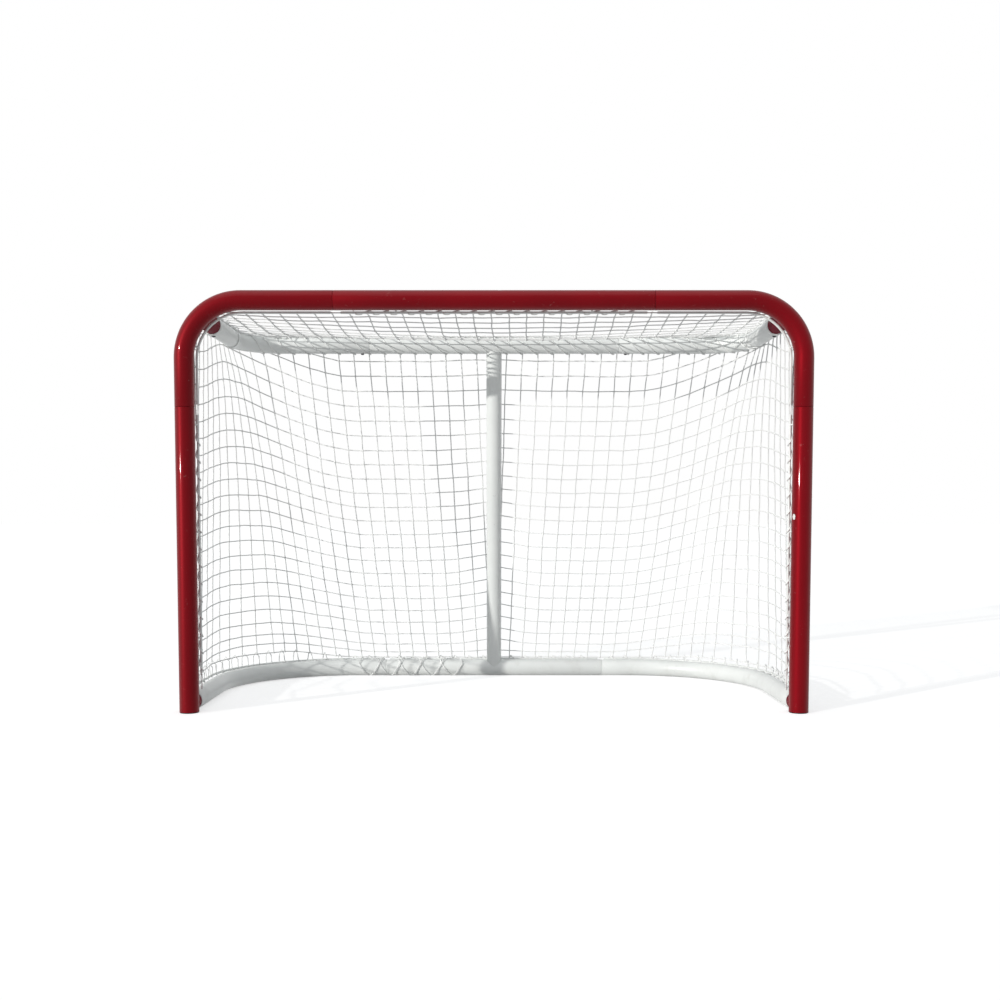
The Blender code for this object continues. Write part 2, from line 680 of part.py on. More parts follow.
def make_rod_lacing(name, rod_at, borders, material, corners=()):
    """A cord that makes a loop round a rod and the net's border at each place.

    Borders are pairs: the place along the rod and the middle of the border strand
    there. Between the loops the cord runs along the far side of the rod, and it
    bends at the corners of the rod's facets.
    """
    half = ROD_R + 2 * LOOP_EASE + CORD_R
    back = -(ROD_R + LOOP_EASE + CORD_R) / math.cos(math.radians(45))
    low = -ROD_R * 0.85
    points = []
    for index, (place, border) in enumerate(borders):
        axis, along, _ = rod_at(place)
        toward = border - axis
        toward -= toward.dot(along) * along
        high = toward.length + HALF_TWINE
        tip = toward.length + 1.2 * HALF_TWINE + 2 * (LOOP_EASE + CORD_R)
        toward.normalize()
        across = along.cross(toward)
        loop = [axis + toward * t + across * c for t, c in
                ((low, half), (high, half), (tip, 0.0), (high, -half), (low, -half))]
        if index > 0:
            way = math.copysign(LOOP_LEAD, borders[index - 1][0] - place)
            points.append(rod_at(place + way)[0] + toward * back)
        points += loop
        if index + 1 < len(borders):
            following = borders[index + 1][0]
            way = math.copysign(LOOP_LEAD, following - place)
            points.append(rod_at(place + way)[0] + toward * back)
            passed = [corner for corner in corners
                      if LOOP_LEAD < (corner - place) * (1 if way > 0 else -1)
                      < abs(following - place) - LOOP_LEAD]
            for corner in passed if way > 0 else reversed(passed):
                axis, _, toward = rod_at(corner)
                points.append(axis + toward * back)
    add_cord(name, points, material)


def add_rod(name, path, plane_normal, lugs, material):
    """A thin rod with short lugs that end just off the tube that they are welded to."""
    rod = add_object(name, skin_bodies(name, [(path_rings(path, plane_normal, ROD_R, SMALL_SIDES),
                                               False)]), material)
    bodies = []
    for foot, toward, along in lugs:
        way = toward.normalized()
        start = foot + way * (TUBE_R + FIT_GAP)
        bodies.append(rod_body(start, foot + toward, LUG_R, LUG_SIDES, along))
    joined = add_object(name + "_lugs", skin_bodies(name + "_lugs", bodies))
    combine(rod, joined, "UNION")


def post_rod(side):
    """By height: the axis of a rod beside a post, its direction and the way to the net."""
    return lambda z: (at(side * (POST_X - ROD_INWARD), ROD_BACK, z), Z_AXIS, Y_AXIS)


def crossbar_rod(x):
    """Axis of the rod under the crossbar, its direction and the way to the net."""
    return at(x, ROD_BACK, BAR_Z - ROD_INWARD), X_AXIS, Y_AXIS


def base_rod(run):
    """Axis of the rods on the base frame, their direction and the way to the net."""
    axis, outward = base_rail(run)
    return axis + outward * ROD_BASE_OUT + Z_AXIS * ROD_BASE_UP, Z_AXIS.cross(outward), Z_AXIS


def base_lug(run):
    """Foot, reach and square direction of a lug between a base tube and its rod."""
    axis, outward = base_rail(run)
    return axis, outward * ROD_BASE_OUT + Z_AXIS * ROD_BASE_UP, Z_AXIS.cross(outward)


def make_front_rods(rows, material):
    """Lacing rods behind the crossbar, the corners and the posts.

    The lugs of a straight rod stand at crossings of the net, between the loops of
    the cord: at some of the rows beside the posts.
    """
    back = Y_AXIS * ROD_BACK
    down = back - Z_AXIS * ROD_INWARD
    add_rod("crossbar_lacing_rod",
            [(crossbar_rod(-CROSSBAR_ROD_X)[0], X_AXIS), (crossbar_rod(CROSSBAR_ROD_X)[0], X_AXIS)],
            Y_AXIS, [(at(x, 0, BAR_Z), down, X_AXIS) for x in (-2 * BAR_CELL, 0, 2 * BAR_CELL)],
            material)
    for side, word in ((-1, "left"), (1, "right")):
        inward = back - side * X_AXIS * ROD_INWARD
        rod_at = post_rod(side)
        low, high = rod_at(POST_ROD_LOW_Z)[0], rod_at(POST_ROD_HIGH_Z)[0]
        add_rod(word + "_post_lacing_rod", [(low, Z_AXIS), (high, Z_AXIS)], Y_AXIS,
                [(at(side * POST_X, 0, row.z), inward, Z_AXIS) for row in rows[2:-1:2]], material)

        tube = corner_path(side)
        path = round_path(crossbar_rod(side * CORNER_ROD_X)[0],
                          crossbar_rod(side * (POST_X - ROD_INWARD))[0],
                          rod_at(CORNER_ROD_LOW_Z)[0], CORNER_RADIUS - ROD_INWARD, CORNER_STEPS)
        lugs = []
        for facet in (2, CORNER_STEPS - 1):
            foot = (tube[facet][0] + tube[facet + 1][0]) / 2
            tip = (path[facet][0] + path[facet + 1][0]) / 2
            along = (tube[facet + 1][0] - tube[facet][0]).normalized()
            lugs.append((foot, tip - foot, along))
        add_rod(word + "_corner_lacing_rod", path, Y_AXIS, lugs, material)


def make_base_rods(material):
    """Lacing rods above and outside the base tubes."""
    ends = base_rod(-BASE_ROD_X)[0], base_rod(BASE_ROD_X)[0]
    add_rod("base_rear_lacing_rod", [(ends[0], X_AXIS), (ends[1], X_AXIS)], Z_AXIS,
            [base_lug(run) for run in (-2 * BAR_CELL, 2 * BAR_CELL)], material)
    height = BASE_Z + ROD_BASE_UP
    for side, word in ((-1, "left"), (1, "right")):
        x, y = side * (POST_X + ROD_BASE_OUT), BASE_DEPTH + ROD_BASE_OUT
        path = round_path(at(x, BASE_ARM_ROD_Y, height), at(x, y, height),
                          at(side * BASE_ARM_ROD_X, y, height), BASE_BEND_RADIUS + ROD_BASE_OUT,
                          BASE_BEND_STEPS)
        lugs = [base_lug(side * run) for _, run in arm_gaps()[1::2]]
        add_rod("base_" + word + "_lacing_rod", path, Z_AXIS, lugs, material)


def arm_gaps():
    """Gaps of the net beside a base arm rod: number from the middle, and run to its middle."""
    front = rail_lengths(POST_X, BASE_DEPTH, BASE_BEND_RADIUS, BASE_ARM_ROD_Y)[2]
    _, base = net_runs()
    middles = [(near + far) / 2 for near, far in zip(base, base[1:])]
    return [(gap, run) for gap, run in enumerate(middles) if BASE_ARM_ROD_X < run < front]


def strand_middles(spots):
    """Middles of the border strands between neighbouring crossings."""
    return [(near + far) / 2 for near, far in zip(spots, spots[1:])]


def make_rod_lacings(hanging, roof, material):
    """Cords that tie the borders of the nets to the rods."""
    borders = [(spot.x, spot) for spot in strand_middles([column[0] for column in roof])
               if abs(spot.x) < CROSSBAR_ROD_X - BAR_CELL / 4]
    make_rod_lacing("crossbar_lacing", crossbar_rod, borders, material)

    for side, word, column in ((-1, "left", hanging[0]), (1, "right", hanging[-1])):
        borders = [(spot.z, spot) for spot in strand_middles(column)
                   if POST_ROD_LOW_Z + TUBE_R < spot.z < POST_ROD_HIGH_Z - TUBE_R]
        make_rod_lacing(word + "_post_lacing", post_rod(side), borders, material)

    middles = strand_middles([column[-1] for column in hanging])
    centre = len(middles) // 2
    borders = [(spot.x, spot) for spot in middles if abs(spot.x) < BASE_ROD_X]
    make_rod_lacing("base_rear_lacing", base_rod, borders, material)
    flat, bend, _ = rail_lengths(POST_X, BASE_DEPTH, BASE_BEND_RADIUS, BASE_ARM_ROD_Y)
    for side, word in ((-1, "left"), (1, "right")):
        borders = [(side * run, middles[centre + gap if side > 0 else centre - 1 - gap])
                   for gap, run in arm_gaps()[::2]]
        corners = sorted(side * (flat + (bend - flat) * step / BASE_BEND_STEPS)
                         for step in range(BASE_BEND_STEPS + 1))
        make_rod_lacing("base_" + word + "_lacing", base_rod, borders, material, corners)


def main():
    for old in list(bpy.data.objects):
        bpy.data.objects.remove(old, do_unlink=True)
    red_paint = new_material("red_paint", (0.42, 0.008, 0.012), 0.25)
    white_paint = new_material("white_paint", (0.82, 0.83, 0.82), 0.35)
    black_plastic = new_material("black_plastic", (0.02, 0.02, 0.02), 0.55)
    black_steel = new_material("black_steel", (0.05, 0.05, 0.05), 0.40, 0.8)
    white_twine = new_material("white_twine", (0.80, 0.80, 0.79), 0.85)
    seats = screw_seats()
    make_front_frame(seats, red_paint)
    make_feet(black_plastic)
    make_rear_frames(seats, white_paint)
    make_upright(white_paint)
    make_screws(seats, black_steel)
    hanging, roof = hanging_grid(), roof_grid()
    make_front_rods(hanging[0], white_paint)
    make_base_rods(white_paint)
    make_nets(hanging, roof, white_twine)
    make_top_lacing(white_twine)
    make_rod_lacings(hanging, roof, white_twine)


main()
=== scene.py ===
"""Street hockey goal, dressed for a close look: painted tube frame, knotted net and lacing.

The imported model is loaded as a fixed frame. Every piece below stands where its solid
stands, and takes its main sizes from that solid. Lengths are metres, +Z is up and the
mouth of the goal faces -Y.
"""
import math

import bmesh
import bpy
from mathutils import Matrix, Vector, noise


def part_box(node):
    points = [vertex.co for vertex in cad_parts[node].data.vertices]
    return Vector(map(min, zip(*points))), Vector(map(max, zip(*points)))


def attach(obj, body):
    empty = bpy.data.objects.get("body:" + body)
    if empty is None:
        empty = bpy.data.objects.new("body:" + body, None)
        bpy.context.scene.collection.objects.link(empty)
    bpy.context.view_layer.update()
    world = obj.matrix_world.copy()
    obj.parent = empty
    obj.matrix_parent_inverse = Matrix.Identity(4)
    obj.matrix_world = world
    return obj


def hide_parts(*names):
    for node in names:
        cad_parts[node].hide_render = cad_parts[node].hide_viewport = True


bl_info = {
    "name": "Street hockey goal",
    "version": (1, 0, 0),
    "blender": (4, 5, 0),
    "location": "3D View > Sidebar > Goal",
    "description": "Builds the frame, net and lacing of a street hockey goal",
    "category": "Object",
}

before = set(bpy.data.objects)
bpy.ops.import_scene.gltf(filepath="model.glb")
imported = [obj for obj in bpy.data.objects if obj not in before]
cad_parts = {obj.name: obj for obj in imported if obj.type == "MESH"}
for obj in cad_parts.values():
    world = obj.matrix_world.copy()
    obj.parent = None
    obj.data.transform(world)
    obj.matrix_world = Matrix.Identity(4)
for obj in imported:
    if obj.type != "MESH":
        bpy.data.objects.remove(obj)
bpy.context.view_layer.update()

X_AXIS, Y_AXIS, Z_AXIS = Vector((1, 0, 0)), Vector((0, 1, 0)), Vector((0, 0, 1))
HALVES = ((-1, "left"), (1, "right"))

# Sizes read from the solids
CROSSBAR_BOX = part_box("crossbar")
CORNER_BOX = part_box("right_corner")
TOP_BEND_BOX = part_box("top_right_bend")
BASE_ARM_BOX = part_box("base_right_arm")
UPRIGHT_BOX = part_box("rear_upright")
TUBE_R = (CROSSBAR_BOX[1].z - CROSSBAR_BOX[0].z) / 2
FRONT_Y = (CROSSBAR_BOX[0].y + CROSSBAR_BOX[1].y) / 2
BAR_Z = (CROSSBAR_BOX[0].z + CROSSBAR_BOX[1].z) / 2
POST_X = CORNER_BOX[1].x - TUBE_R
CROSSBAR_SEAM_X = CORNER_BOX[0].x
POST_SEAM_Z = CORNER_BOX[0].z
INSERTION = CROSSBAR_BOX[1].x - CROSSBAR_SEAM_X
TOP_MOUTH_Y = TOP_BEND_BOX[0].y - FRONT_Y
TOP_SEAM_X = TOP_BEND_BOX[0].x
TOP_DEPTH = TOP_BEND_BOX[1].y - TUBE_R - FRONT_Y
SIDE_X = TOP_BEND_BOX[1].x - TUBE_R
TOP_Z = (TOP_BEND_BOX[0].z + TOP_BEND_BOX[1].z) / 2
BASE_MOUTH_Y = BASE_ARM_BOX[0].y - FRONT_Y
BASE_SEAM_X = BASE_ARM_BOX[0].x
BASE_DEPTH = BASE_ARM_BOX[1].y - TUBE_R - FRONT_Y
BASE_Z = TUBE_R
UPRIGHT_R = (UPRIGHT_BOX[1].x - UPRIGHT_BOX[0].x) / 2

# Fixed details of the tubes, as in the solids
TUBE_WALL = 0.0025
FIT_GAP = 0.0003
SWAGE_CONE = 0.004
BORE_R = TUBE_R - TUBE_WALL
SPIGOT_R = BORE_R - FIT_GAP
SPIGOT_BORE_R = SPIGOT_R - TUBE_WALL
UPRIGHT_BORE_R = UPRIGHT_R - TUBE_WALL
UPRIGHT_SPIGOT = 0.060
FOOT_FLANGE = 0.0022
FOOT_PLUG = 0.022

# Details that only the dressed tubes have
LIP = 0.0007                    # rounding of a cut edge
SPIGOT_ROOT = 0.016             # how far a welded spigot reaches into the bore of its tube
UPRIGHT_ROOT = 0.004            # how far the upright's spigots reach into the bars
WELD_RIPPLES, WELD_STEPS, WELD_SIDES = 46, 3, 8     # ripples, rings in each, sides of a ring
RIPPLE_SHARE, WANDER_SHARE = 0.16, 0.14     # how much the bead's size changes, of itself
WANDER_SCALE = 140
CORNER_STEPS = 32
BASE_BEND_STEPS = 56

# Ends of the tubes, from the seam or mouth inwards: run and radius
SWAGED_SKIN = ((-INSERTION, SPIGOT_R - LIP), (-INSERTION + LIP, SPIGOT_R), (0.0, SPIGOT_R),
               (0.0003, TUBE_R - 0.0014), (0.0012, TUBE_R - 0.0004), (0.0028, TUBE_R))
SWAGED_BORE = ((-INSERTION, SPIGOT_BORE_R), (0.0, SPIGOT_BORE_R), (SWAGE_CONE, BORE_R))
PLAIN_SKIN = ((0.0, TUBE_R - LIP), (LIP, TUBE_R))
PLAIN_BORE = ((0.0, BORE_R),)
BENT_SKIN = ((0.0, TUBE_R - LIP), (LIP * 0.3, TUBE_R - LIP * 0.3), (LIP, TUBE_R))

# Rods and where the edges of the net lie on them
ROD_R = 0.0040
ROD_INWARD = 0.0325
ROD_BACK = 0.0279
ROD_BASE_OUT = 0.0286
ROD_BASE_UP = 0.0286
BORDER_RISE = 0.0071
NET_FRONT_Y = ROD_BACK + BORDER_RISE
GROUND_GAP = 0.0003             # what hangs under a tube stays this far above the ground
ROOF_SEAT = math.radians(53.0)  # the roof's edges lie this high on the inner side of the bars
ROOF_SEAT_GAP = 0.0024          # from the skin of the bars to the middle of the roof's edge
HANG_OFFSET = 0.0331            # from the axis of the bars to the hanging net's top edge
HANG_SLOPE = math.radians(12.6)
HANG_OUT = HANG_OFFSET * math.cos(HANG_SLOPE)
HANG_UP = HANG_OFFSET * math.sin(HANG_SLOPE)
SEAM_RUN = 0.600                # the back net ends this far from the middle


def at(x, depth, z):
    """A point given from the front plane of the goal."""
    return Vector((x, FRONT_Y + depth, z))


def turned(first, second, angle):
    """The direction at an angle from the first one towards the second."""
    return math.cos(angle) * first + math.sin(angle) * second


def smooth(low, high, value):
    """0 below low, 1 above high, and a smooth rise between them."""
    share = min(1.0, max(0.0, (value - low) / (high - low)))
    return share * share * (3 - 2 * share)


def swell(angle, centre, width):
    """1 at the centre, and smoothly less on both sides of it round a turn."""
    off = (angle - centre + math.pi) % math.tau - math.pi
    return math.exp(-(off / width) ** 2)


def metres(name, description, default, low, high):
    """A size in metres that can be changed."""
    return bpy.props.FloatProperty(name=name, description=description, default=default,
                                   min=low, max=high, unit="LENGTH")


def whole(name, description, default, low, high):
    """A number of things that can be changed."""
    return bpy.props.IntProperty(name=name, description=description, default=default,
                                 min=low, max=high)


def tint(name, description, default):
    """A colour that can be changed."""
    return bpy.props.FloatVectorProperty(name=name, description=description, default=default,
                                         min=0.0, max=1.0, size=3, subtype="COLOR")


class GoalTubeSizes(bpy.types.PropertyGroup):
    """Sizes of the painted tubes."""
    corner_radius: metres("Corner radius", "Bend between crossbar and post", 0.175, 0.08, 0.30)
    top_bend_radius: metres("Top bend radius", "Bends of the white top frame", 0.155, 0.08, 0.30)
    base_bend_radius: metres("Base bend radius", "Wide bends of the white base frame",
                             0.450, 0.20, 0.60)
    sides: whole("Tube sides", "Faces round each tube", 56, 16, 96)
    bead: metres("Weld bead", "Half thickness of the weld beads", 0.0026, 0.001, 0.006)


class GoalNetSizes(bpy.types.PropertyGroup):
    """Sizes of the net and of its lacing."""
    twine: metres("Twine", "Diameter of the net's twine", 0.0040, 0.001, 0.008)
    knot: metres("Knot", "Half width of a knot", 0.0042, 0.001, 0.010)
    columns: whole("Columns", "Meshes on each half of the hanging net", 28, 20, 40)
    even_columns: whole("Even columns", "Columns of one width, from the middle to the bends",
                         17, 8, 19)
    rows: whole("Rows", "Meshes down the hanging net", 24, 6, 36)
    top_pitch: metres("Top pitch", "Width of an even column along the top edge",
                      0.0556, 0.03, 0.08)
    base_pitch: metres("Base pitch", "Width of an even column along the base edge",
                       0.0495, 0.03, 0.08)
    lean: metres("Lean", "How far the columns lean to the middle on their way down",
                 0.0385, 0.0, 0.08)
    roof_columns: whole("Roof columns", "Meshes on each half of the roof net", 16, 6, 30)
    roof_rows: whole("Roof rows", "Meshes from the crossbar to the rear bar", 10, 3, 20)
    corner_lift: bpy.props.FloatProperty(
        name="Corner lift", description="How far the rows rise at the rear corners, as a share",
        default=0.125, min=0.0, max=0.20, subtype="FACTOR")
    corner_pull: metres("Corner pull", "How far the net draws in at the rear corners",
                        0.055, 0.0, 0.12)
    back_sag: metres("Back sag", "How far the back net hangs in beside the upright",
                     0.065, 0.0, 0.09)
    roof_sag: metres("Roof sag", "Sag in the middle of the roof net", 0.036, 0.0, 0.06)
    roof_shift: metres("Roof shift", "How far the roof's strands run to the right on their way back",
                       0.015, 0.0, 0.04)
    waver: metres("Waver", "How far the twine wanders from a straight line", 0.008, 0.0, 0.03)
    cord: metres("Lacing cord", "Diameter of the lacing cord", 0.0036, 0.001, 0.008)
    lacing_pitch: metres("Lacing pitch", "Distance between turns of the lacing",
                         0.0538, 0.02, 0.12)


class GoalColours(bpy.types.PropertyGroup):
    """Colours of the finishes."""
    red: tint("Red", "Paint of the front frame", (0.150, 0.0012, 0.0045))
    white: tint("White", "Paint of the rear frames and rods", (0.800, 0.820, 0.805))
    plastic: tint("Plastic", "Moulded feet", (0.016, 0.016, 0.018))
    steel: tint("Screws", "Blackened screws", (0.060, 0.060, 0.065))
    twine: tint("Twine", "Net and lacing", (0.900, 0.905, 0.895))


class Signal:
    """A number in a node tree; an expression on it adds Math nodes."""

    def __init__(self, owner, socket):
        self.owner = owner
        self.socket = socket

    def math(self, operation, *values, clamp=False):
        node = self.owner.node("ShaderNodeMath", {"operation": operation, "use_clamp": clamp},
                               dict(enumerate(values)))
        return Signal(self.owner, node.outputs[0])

    def __add__(self, other):
        return self.math("ADD", self, other)

    def __sub__(self, other):
        return self.math("SUBTRACT", self, other)

    def __rsub__(self, other):
        return self.math("SUBTRACT", other, self)

    def __mul__(self, other):
        return self.math("MULTIPLY", self, other)

    __radd__, __rmul__ = __add__, __mul__

    def clipped(self):
        """The number, held between 0 and 1."""
        return self.math("ADD", self, 0.0, clamp=True)

    def step(self, low, high):
        """0 below low, 1 above high, and a smooth rise between them."""
        node = self.owner.node("ShaderNodeMapRange", {"interpolation_type": "SMOOTHSTEP"},
                               {"Value": self, "From Min": low, "From Max": high})
        return Signal(self.owner, node.outputs["Result"])


class Nodes:
    """A node tree whose nodes all come from one method."""

    def __init__(self, tree):
        self.tree = tree
        tree.nodes.clear()

    def node(self, kind, settings=None, inputs=None):
        """Add a node: its settings first, then the values or links of its sockets.

        A node given for a socket stands for its first output.
        """
        node = self.tree.nodes.new(kind)
        for key, value in (settings or {}).items():
            setattr(node, key, value)
        for key, value in (inputs or {}).items():
            for source in value if isinstance(value, list) else [value]:
                if isinstance(source, Signal):
                    source = source.socket
                elif isinstance(source, bpy.types.Node):
                    source = source.outputs[0]
                if isinstance(source, bpy.types.NodeSocket):
                    self.tree.links.new(source, node.inputs[key])
                else:
                    node.inputs[key].default_value = source
        return node

    def seen_rays(self):
        """1 for the rays that show the surroundings, 0 for those that light the goal."""
        path = self.node("ShaderNodeLightPath").outputs
        camera, glossy, clear = [Signal(self, path["Is " + kind + " Ray"])
                                 for kind in ("Camera", "Glossy", "Transmission")]
        return (camera + glossy + clear).clipped()


class Finish(Nodes):
    """The node tree of one material."""

    def __init__(self, name):
        self.material = bpy.data.materials.new(name)
        self.material.use_nodes = True
        super().__init__(self.material.node_tree)
        self.place = self.node("ShaderNodeTexCoord").outputs["Object"]

    def noise(self, scale, detail=2.0, roughness=0.5):
        node = self.node("ShaderNodeTexNoise", None,
                         {"Vector": self.place, "Scale": scale, "Detail": detail,
                          "Roughness": roughness})
        return Signal(self, node.outputs["Fac"])

    def mixed(self, factor, first, second):
        """A colour between two others."""
        node = self.node("ShaderNodeMix", {"data_type": "RGBA"}, {0: factor, 6: first, 7: second})
        return node.outputs[2]

    def shades(self, mask, colour, low, high):
        """A colour that is darker where the mask is 0 and lighter where it is 1."""
        return self.mixed(mask, rgba(colour, low), rgba(colour, high))

    def around(self, centre, size):
        """Distance from a place on the piece, counted in the given size."""
        moved = self.node("ShaderNodeVectorMath", {"operation": "SUBTRACT"},
                          {0: self.place, 1: centre})
        scaled = self.node("ShaderNodeVectorMath", {"operation": "DIVIDE"}, {0: moved, 1: size})
        span = self.node("ShaderNodeVectorMath", {"operation": "LENGTH"}, {0: scaled})
        return Signal(self, span.outputs["Value"])

    def axis(self, index):
        node = self.node("ShaderNodeSeparateXYZ", None, {0: self.place})
        return Signal(self, node.outputs[index])

    def bump(self, height, strength, distance):
        return self.node("ShaderNodeBump", None, {"Height": height, "Strength": strength,
                                                  "Distance": distance}).outputs["Normal"]

    def surface(self, **inputs):
        """The shader itself, and the finished material."""
        names = {key.replace("_", " ").title().replace("Ior", "IOR"): value
                 for key, value in inputs.items()}
        shader = self.node("ShaderNodeBsdfPrincipled", None, names)
        self.node("ShaderNodeOutputMaterial", None, {"Surface": shader})
        return self.material


def rgba(colour, level=1.0):
    """A colour for a socket, made lighter or darker."""
    return (colour[0] * level, colour[1] * level, colour[2] * level, 1.0)


PRIMER = (0.80, 0.80, 0.78, 1.0)
# Painted shade: the darker red of the spigots
SPIGOT_PAINTED_SHADE = (0.105, 0.006, 0.016, 1.0)
SCUFFED_RED = (0.42, 0.30, 0.28, 1.0)
DUSTY_RED = (0.55, 0.45, 0.42, 1.0)
GRIME = (0.42, 0.40, 0.36, 1.0)
DARK_NICK = (0.25, 0.25, 0.25, 1.0)
GREY_DUST = (0.11, 0.105, 0.10, 1.0)
RUBBED_STEEL = (0.22, 0.21, 0.20, 1.0)
TWINE_SHADE = (0.48, 0.47, 0.43, 1.0)

# Middle and half size of each chip in the red paint
CHIPS = (((POST_X - 0.0270, FRONT_Y - 0.0130, 0.6060), (0.0065, 0.0065, 0.0085)),
         ((0.0170, FRONT_Y - 0.0060, BAR_Z + TUBE_R), (0.0085, 0.0060, 0.0050)))


def chip_mask(finish, ragged, low, high):
    """1 inside the chips and 0 outside, with a rise between two distances from their middle."""
    masks = [1.0 - (finish.around(*chip) + ragged).step(low, high) for chip in CHIPS]
    return masks[0].math("MAXIMUM", *masks)


def red_paint(colours):
    """Glossy red paint with a slight orange peel, dust and two chips down to the primer, each ringed
    by a darker red that is painted shade.

    The welded spigots that the white frames slide on have a rougher coat without gloss, and a darker
    red there that is painted shade.
    """
    finish = Finish("Red paint")
    broad = finish.noise(3.0, 3.0)
    fine = finish.noise(60.0, 4.0, 0.6)
    ragged = (finish.noise(190.0, 2.0) - 0.5) * 0.75
    bare = chip_mask(finish, ragged, 0.92, 1.06)
    # A darker ring round each chip: painted shade at its edge
    edge = chip_mask(finish, ragged, 1.15, 1.35) - bare
    scuffs = finish.noise(24.0, 5.0, 0.7).step(0.62, 0.74)
    # Where the spigots are: a rougher coat without gloss, and a darker red that is painted shade
    spigot = finish.axis(1).step(FRONT_Y + 0.0290, FRONT_Y + 0.0315)
    colour = finish.shades(broad.step(0.3, 0.7), colours.red, 0.88, 1.10)
    for mask, layer in ((scuffs * 0.10, SCUFFED_RED), (fine.step(0.66, 0.78) * 0.10, DUSTY_RED),
                        (edge.clipped() * 0.8, rgba(colours.red, 0.20)), (bare, PRIMER),
                        (spigot, SPIGOT_PAINTED_SHADE)):
        colour = finish.mixed(mask, colour, layer)
    peel = finish.noise(230.0, 1.5, 0.4) + bare * -3.0
    rough = broad * 0.08 + 0.41 + scuffs * 0.10 + bare * 0.25 + spigot * 0.35
    return finish.surface(base_color=colour, roughness=rough.clipped(),
                          normal=finish.bump(peel, 0.16, 0.0008),
                          specular_ior_level=0.6, specular_tint=(1.0, 0.02, 0.04, 1.0),
                          coat_weight=((1.0 - bare) * (1.0 - spigot) * 0.12).clipped(),
                          coat_roughness=0.05)


def white_paint(colours):
    """Satin white paint with faint grime near the ground and a few dark nicks."""
    finish = Finish("White paint")
    broad = finish.noise(4.0, 3.0)
    low = 1.0 - finish.axis(2).step(0.0, 0.12)
    grime = finish.noise(18.0, 6.0, 0.65).step(0.46, 0.78)
    nicks = finish.noise(95.0, 3.0, 0.6).step(0.715, 0.75)
    colour = finish.shades(broad.step(0.3, 0.7), colours.white, 0.95, 1.03)
    colour = finish.mixed(grime * (low * 0.16 + 0.05), colour, GRIME)
    colour = finish.mixed(nicks * 0.35, colour, DARK_NICK)
    return finish.surface(base_color=colour,
                          roughness=(broad * 0.10 + 0.30 + grime * 0.15).clipped(),
                          normal=finish.bump(finish.noise(240.0, 1.5, 0.4), 0.12, 0.0008),
                          coat_weight=0.20, coat_roughness=0.15)


def black_plastic(colours):
    """Moulded black plastic, dusty and scuffed at the ground."""
    finish = Finish("Black plastic")
    scuffs = finish.noise(140.0, 4.0, 0.65).step(0.50, 0.72)
    return finish.surface(base_color=finish.mixed(scuffs * 0.5, rgba(colours.plastic), GREY_DUST),
                          roughness=(scuffs * 0.25 + 0.45).clipped(),
                          normal=finish.bump(finish.noise(900.0, 2.0), 0.25, 0.0004))


def black_steel(colours):
    """Blackened steel with brighter rubbed places."""
    finish = Finish("Black steel")
    rubbed = finish.noise(420.0, 3.0, 0.6).step(0.52, 0.70)
    return finish.surface(base_color=finish.mixed(rubbed * 0.6, rgba(colours.steel), RUBBED_STEEL),
                          roughness=(0.50 - rubbed * 0.15).clipped(), metallic=0.8,
                          normal=finish.bump(finish.noise(1500.0, 2.0), 0.20, 0.0002))


def white_twine(colours):
    """Soft white cord: fine strands, a little yellowing and a matt surface."""
    finish = Finish("White twine")
    broad = finish.noise(7.0, 3.0)
    strands = finish.noise(900.0, 2.0, 0.6)
    colour = finish.shades(broad.step(0.25, 0.75), colours.twine, 0.94, 1.04)
    colour = finish.mixed((1.0 - strands.step(0.30, 0.55)) * 0.10, colour, TWINE_SHADE)
    return finish.surface(base_color=colour, roughness=(strands * 0.15 + 0.78).clipped(),
                          normal=finish.bump(strands, 0.3, 0.0010))


FINISHES = {"red_paint": red_paint, "white_paint": white_paint, "black_plastic": black_plastic,
            "black_steel": black_steel, "white_twine": white_twine}
made_finishes = {}


def finish_for(context, slot):
    """The material of a slot, made once."""
    if slot not in made_finishes:
        made_finishes[slot] = FINISHES[slot](context.scene.goal_colours)
    return made_finishes[slot]


def new_object(name, data):
    """An object in the scene, at the origin."""
    piece = bpy.data.objects.new(name, data)
    bpy.context.scene.collection.objects.link(piece)
    return piece


def settle(piece, slot, *nodes):
    """Let a piece stand for its solids on the goal's one body, and hide those solids; the slot is not
    used.
    """
    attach(piece, "root")
    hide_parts(*nodes)


class Shape:
    """A mesh in the making, from loops of points that are skinned together."""

    def __init__(self):
        self.mesh = bmesh.new()

    def skin(self, rows, closed=False):
        """Join loops of equal length one after another, and cap the ends unless it closes."""
        loops = [[self.mesh.verts.new(point) for point in points] for points in rows]
        pairs = list(zip(loops, loops[1:]))
        if closed:
            pairs.append((loops[-1], loops[0]))
        count = len(loops[0])
        for near, far in pairs:
            for index in range(count):
                after = (index + 1) % count
                self.mesh.faces.new((near[index], near[after], far[after], far[index]))
        if not closed:
            self.mesh.faces.new(list(reversed(loops[0])))
            self.mesh.faces.new(loops[-1])

    def piece(self, name, material, sharp=32.0):
        """The finished object, smooth but for its sharp edges."""
        bmesh.ops.recalc_face_normals(self.mesh, faces=self.mesh.faces)
        mesh = bpy.data.meshes.new(name)
        self.mesh.to_mesh(mesh)
        self.mesh.free()
        mesh.materials.append(material)
        mesh.shade_smooth()
        mesh.set_sharp_from_angle(angle=math.radians(sharp))
        return new_object(name, mesh)

    def settle(self, context, name, slot, node):
        """Finish the shape as the piece that stands for one solid."""
        settle(self.piece(name, finish_for(context, slot)), slot, node)


def round_section(centre, along, square, radius, sides):
    """Points of a round section, square to the direction of travel."""
    across = square.cross(along).normalized()
    return [centre + radius * turned(across, square, math.tau * k / sides) for k in range(sides)]


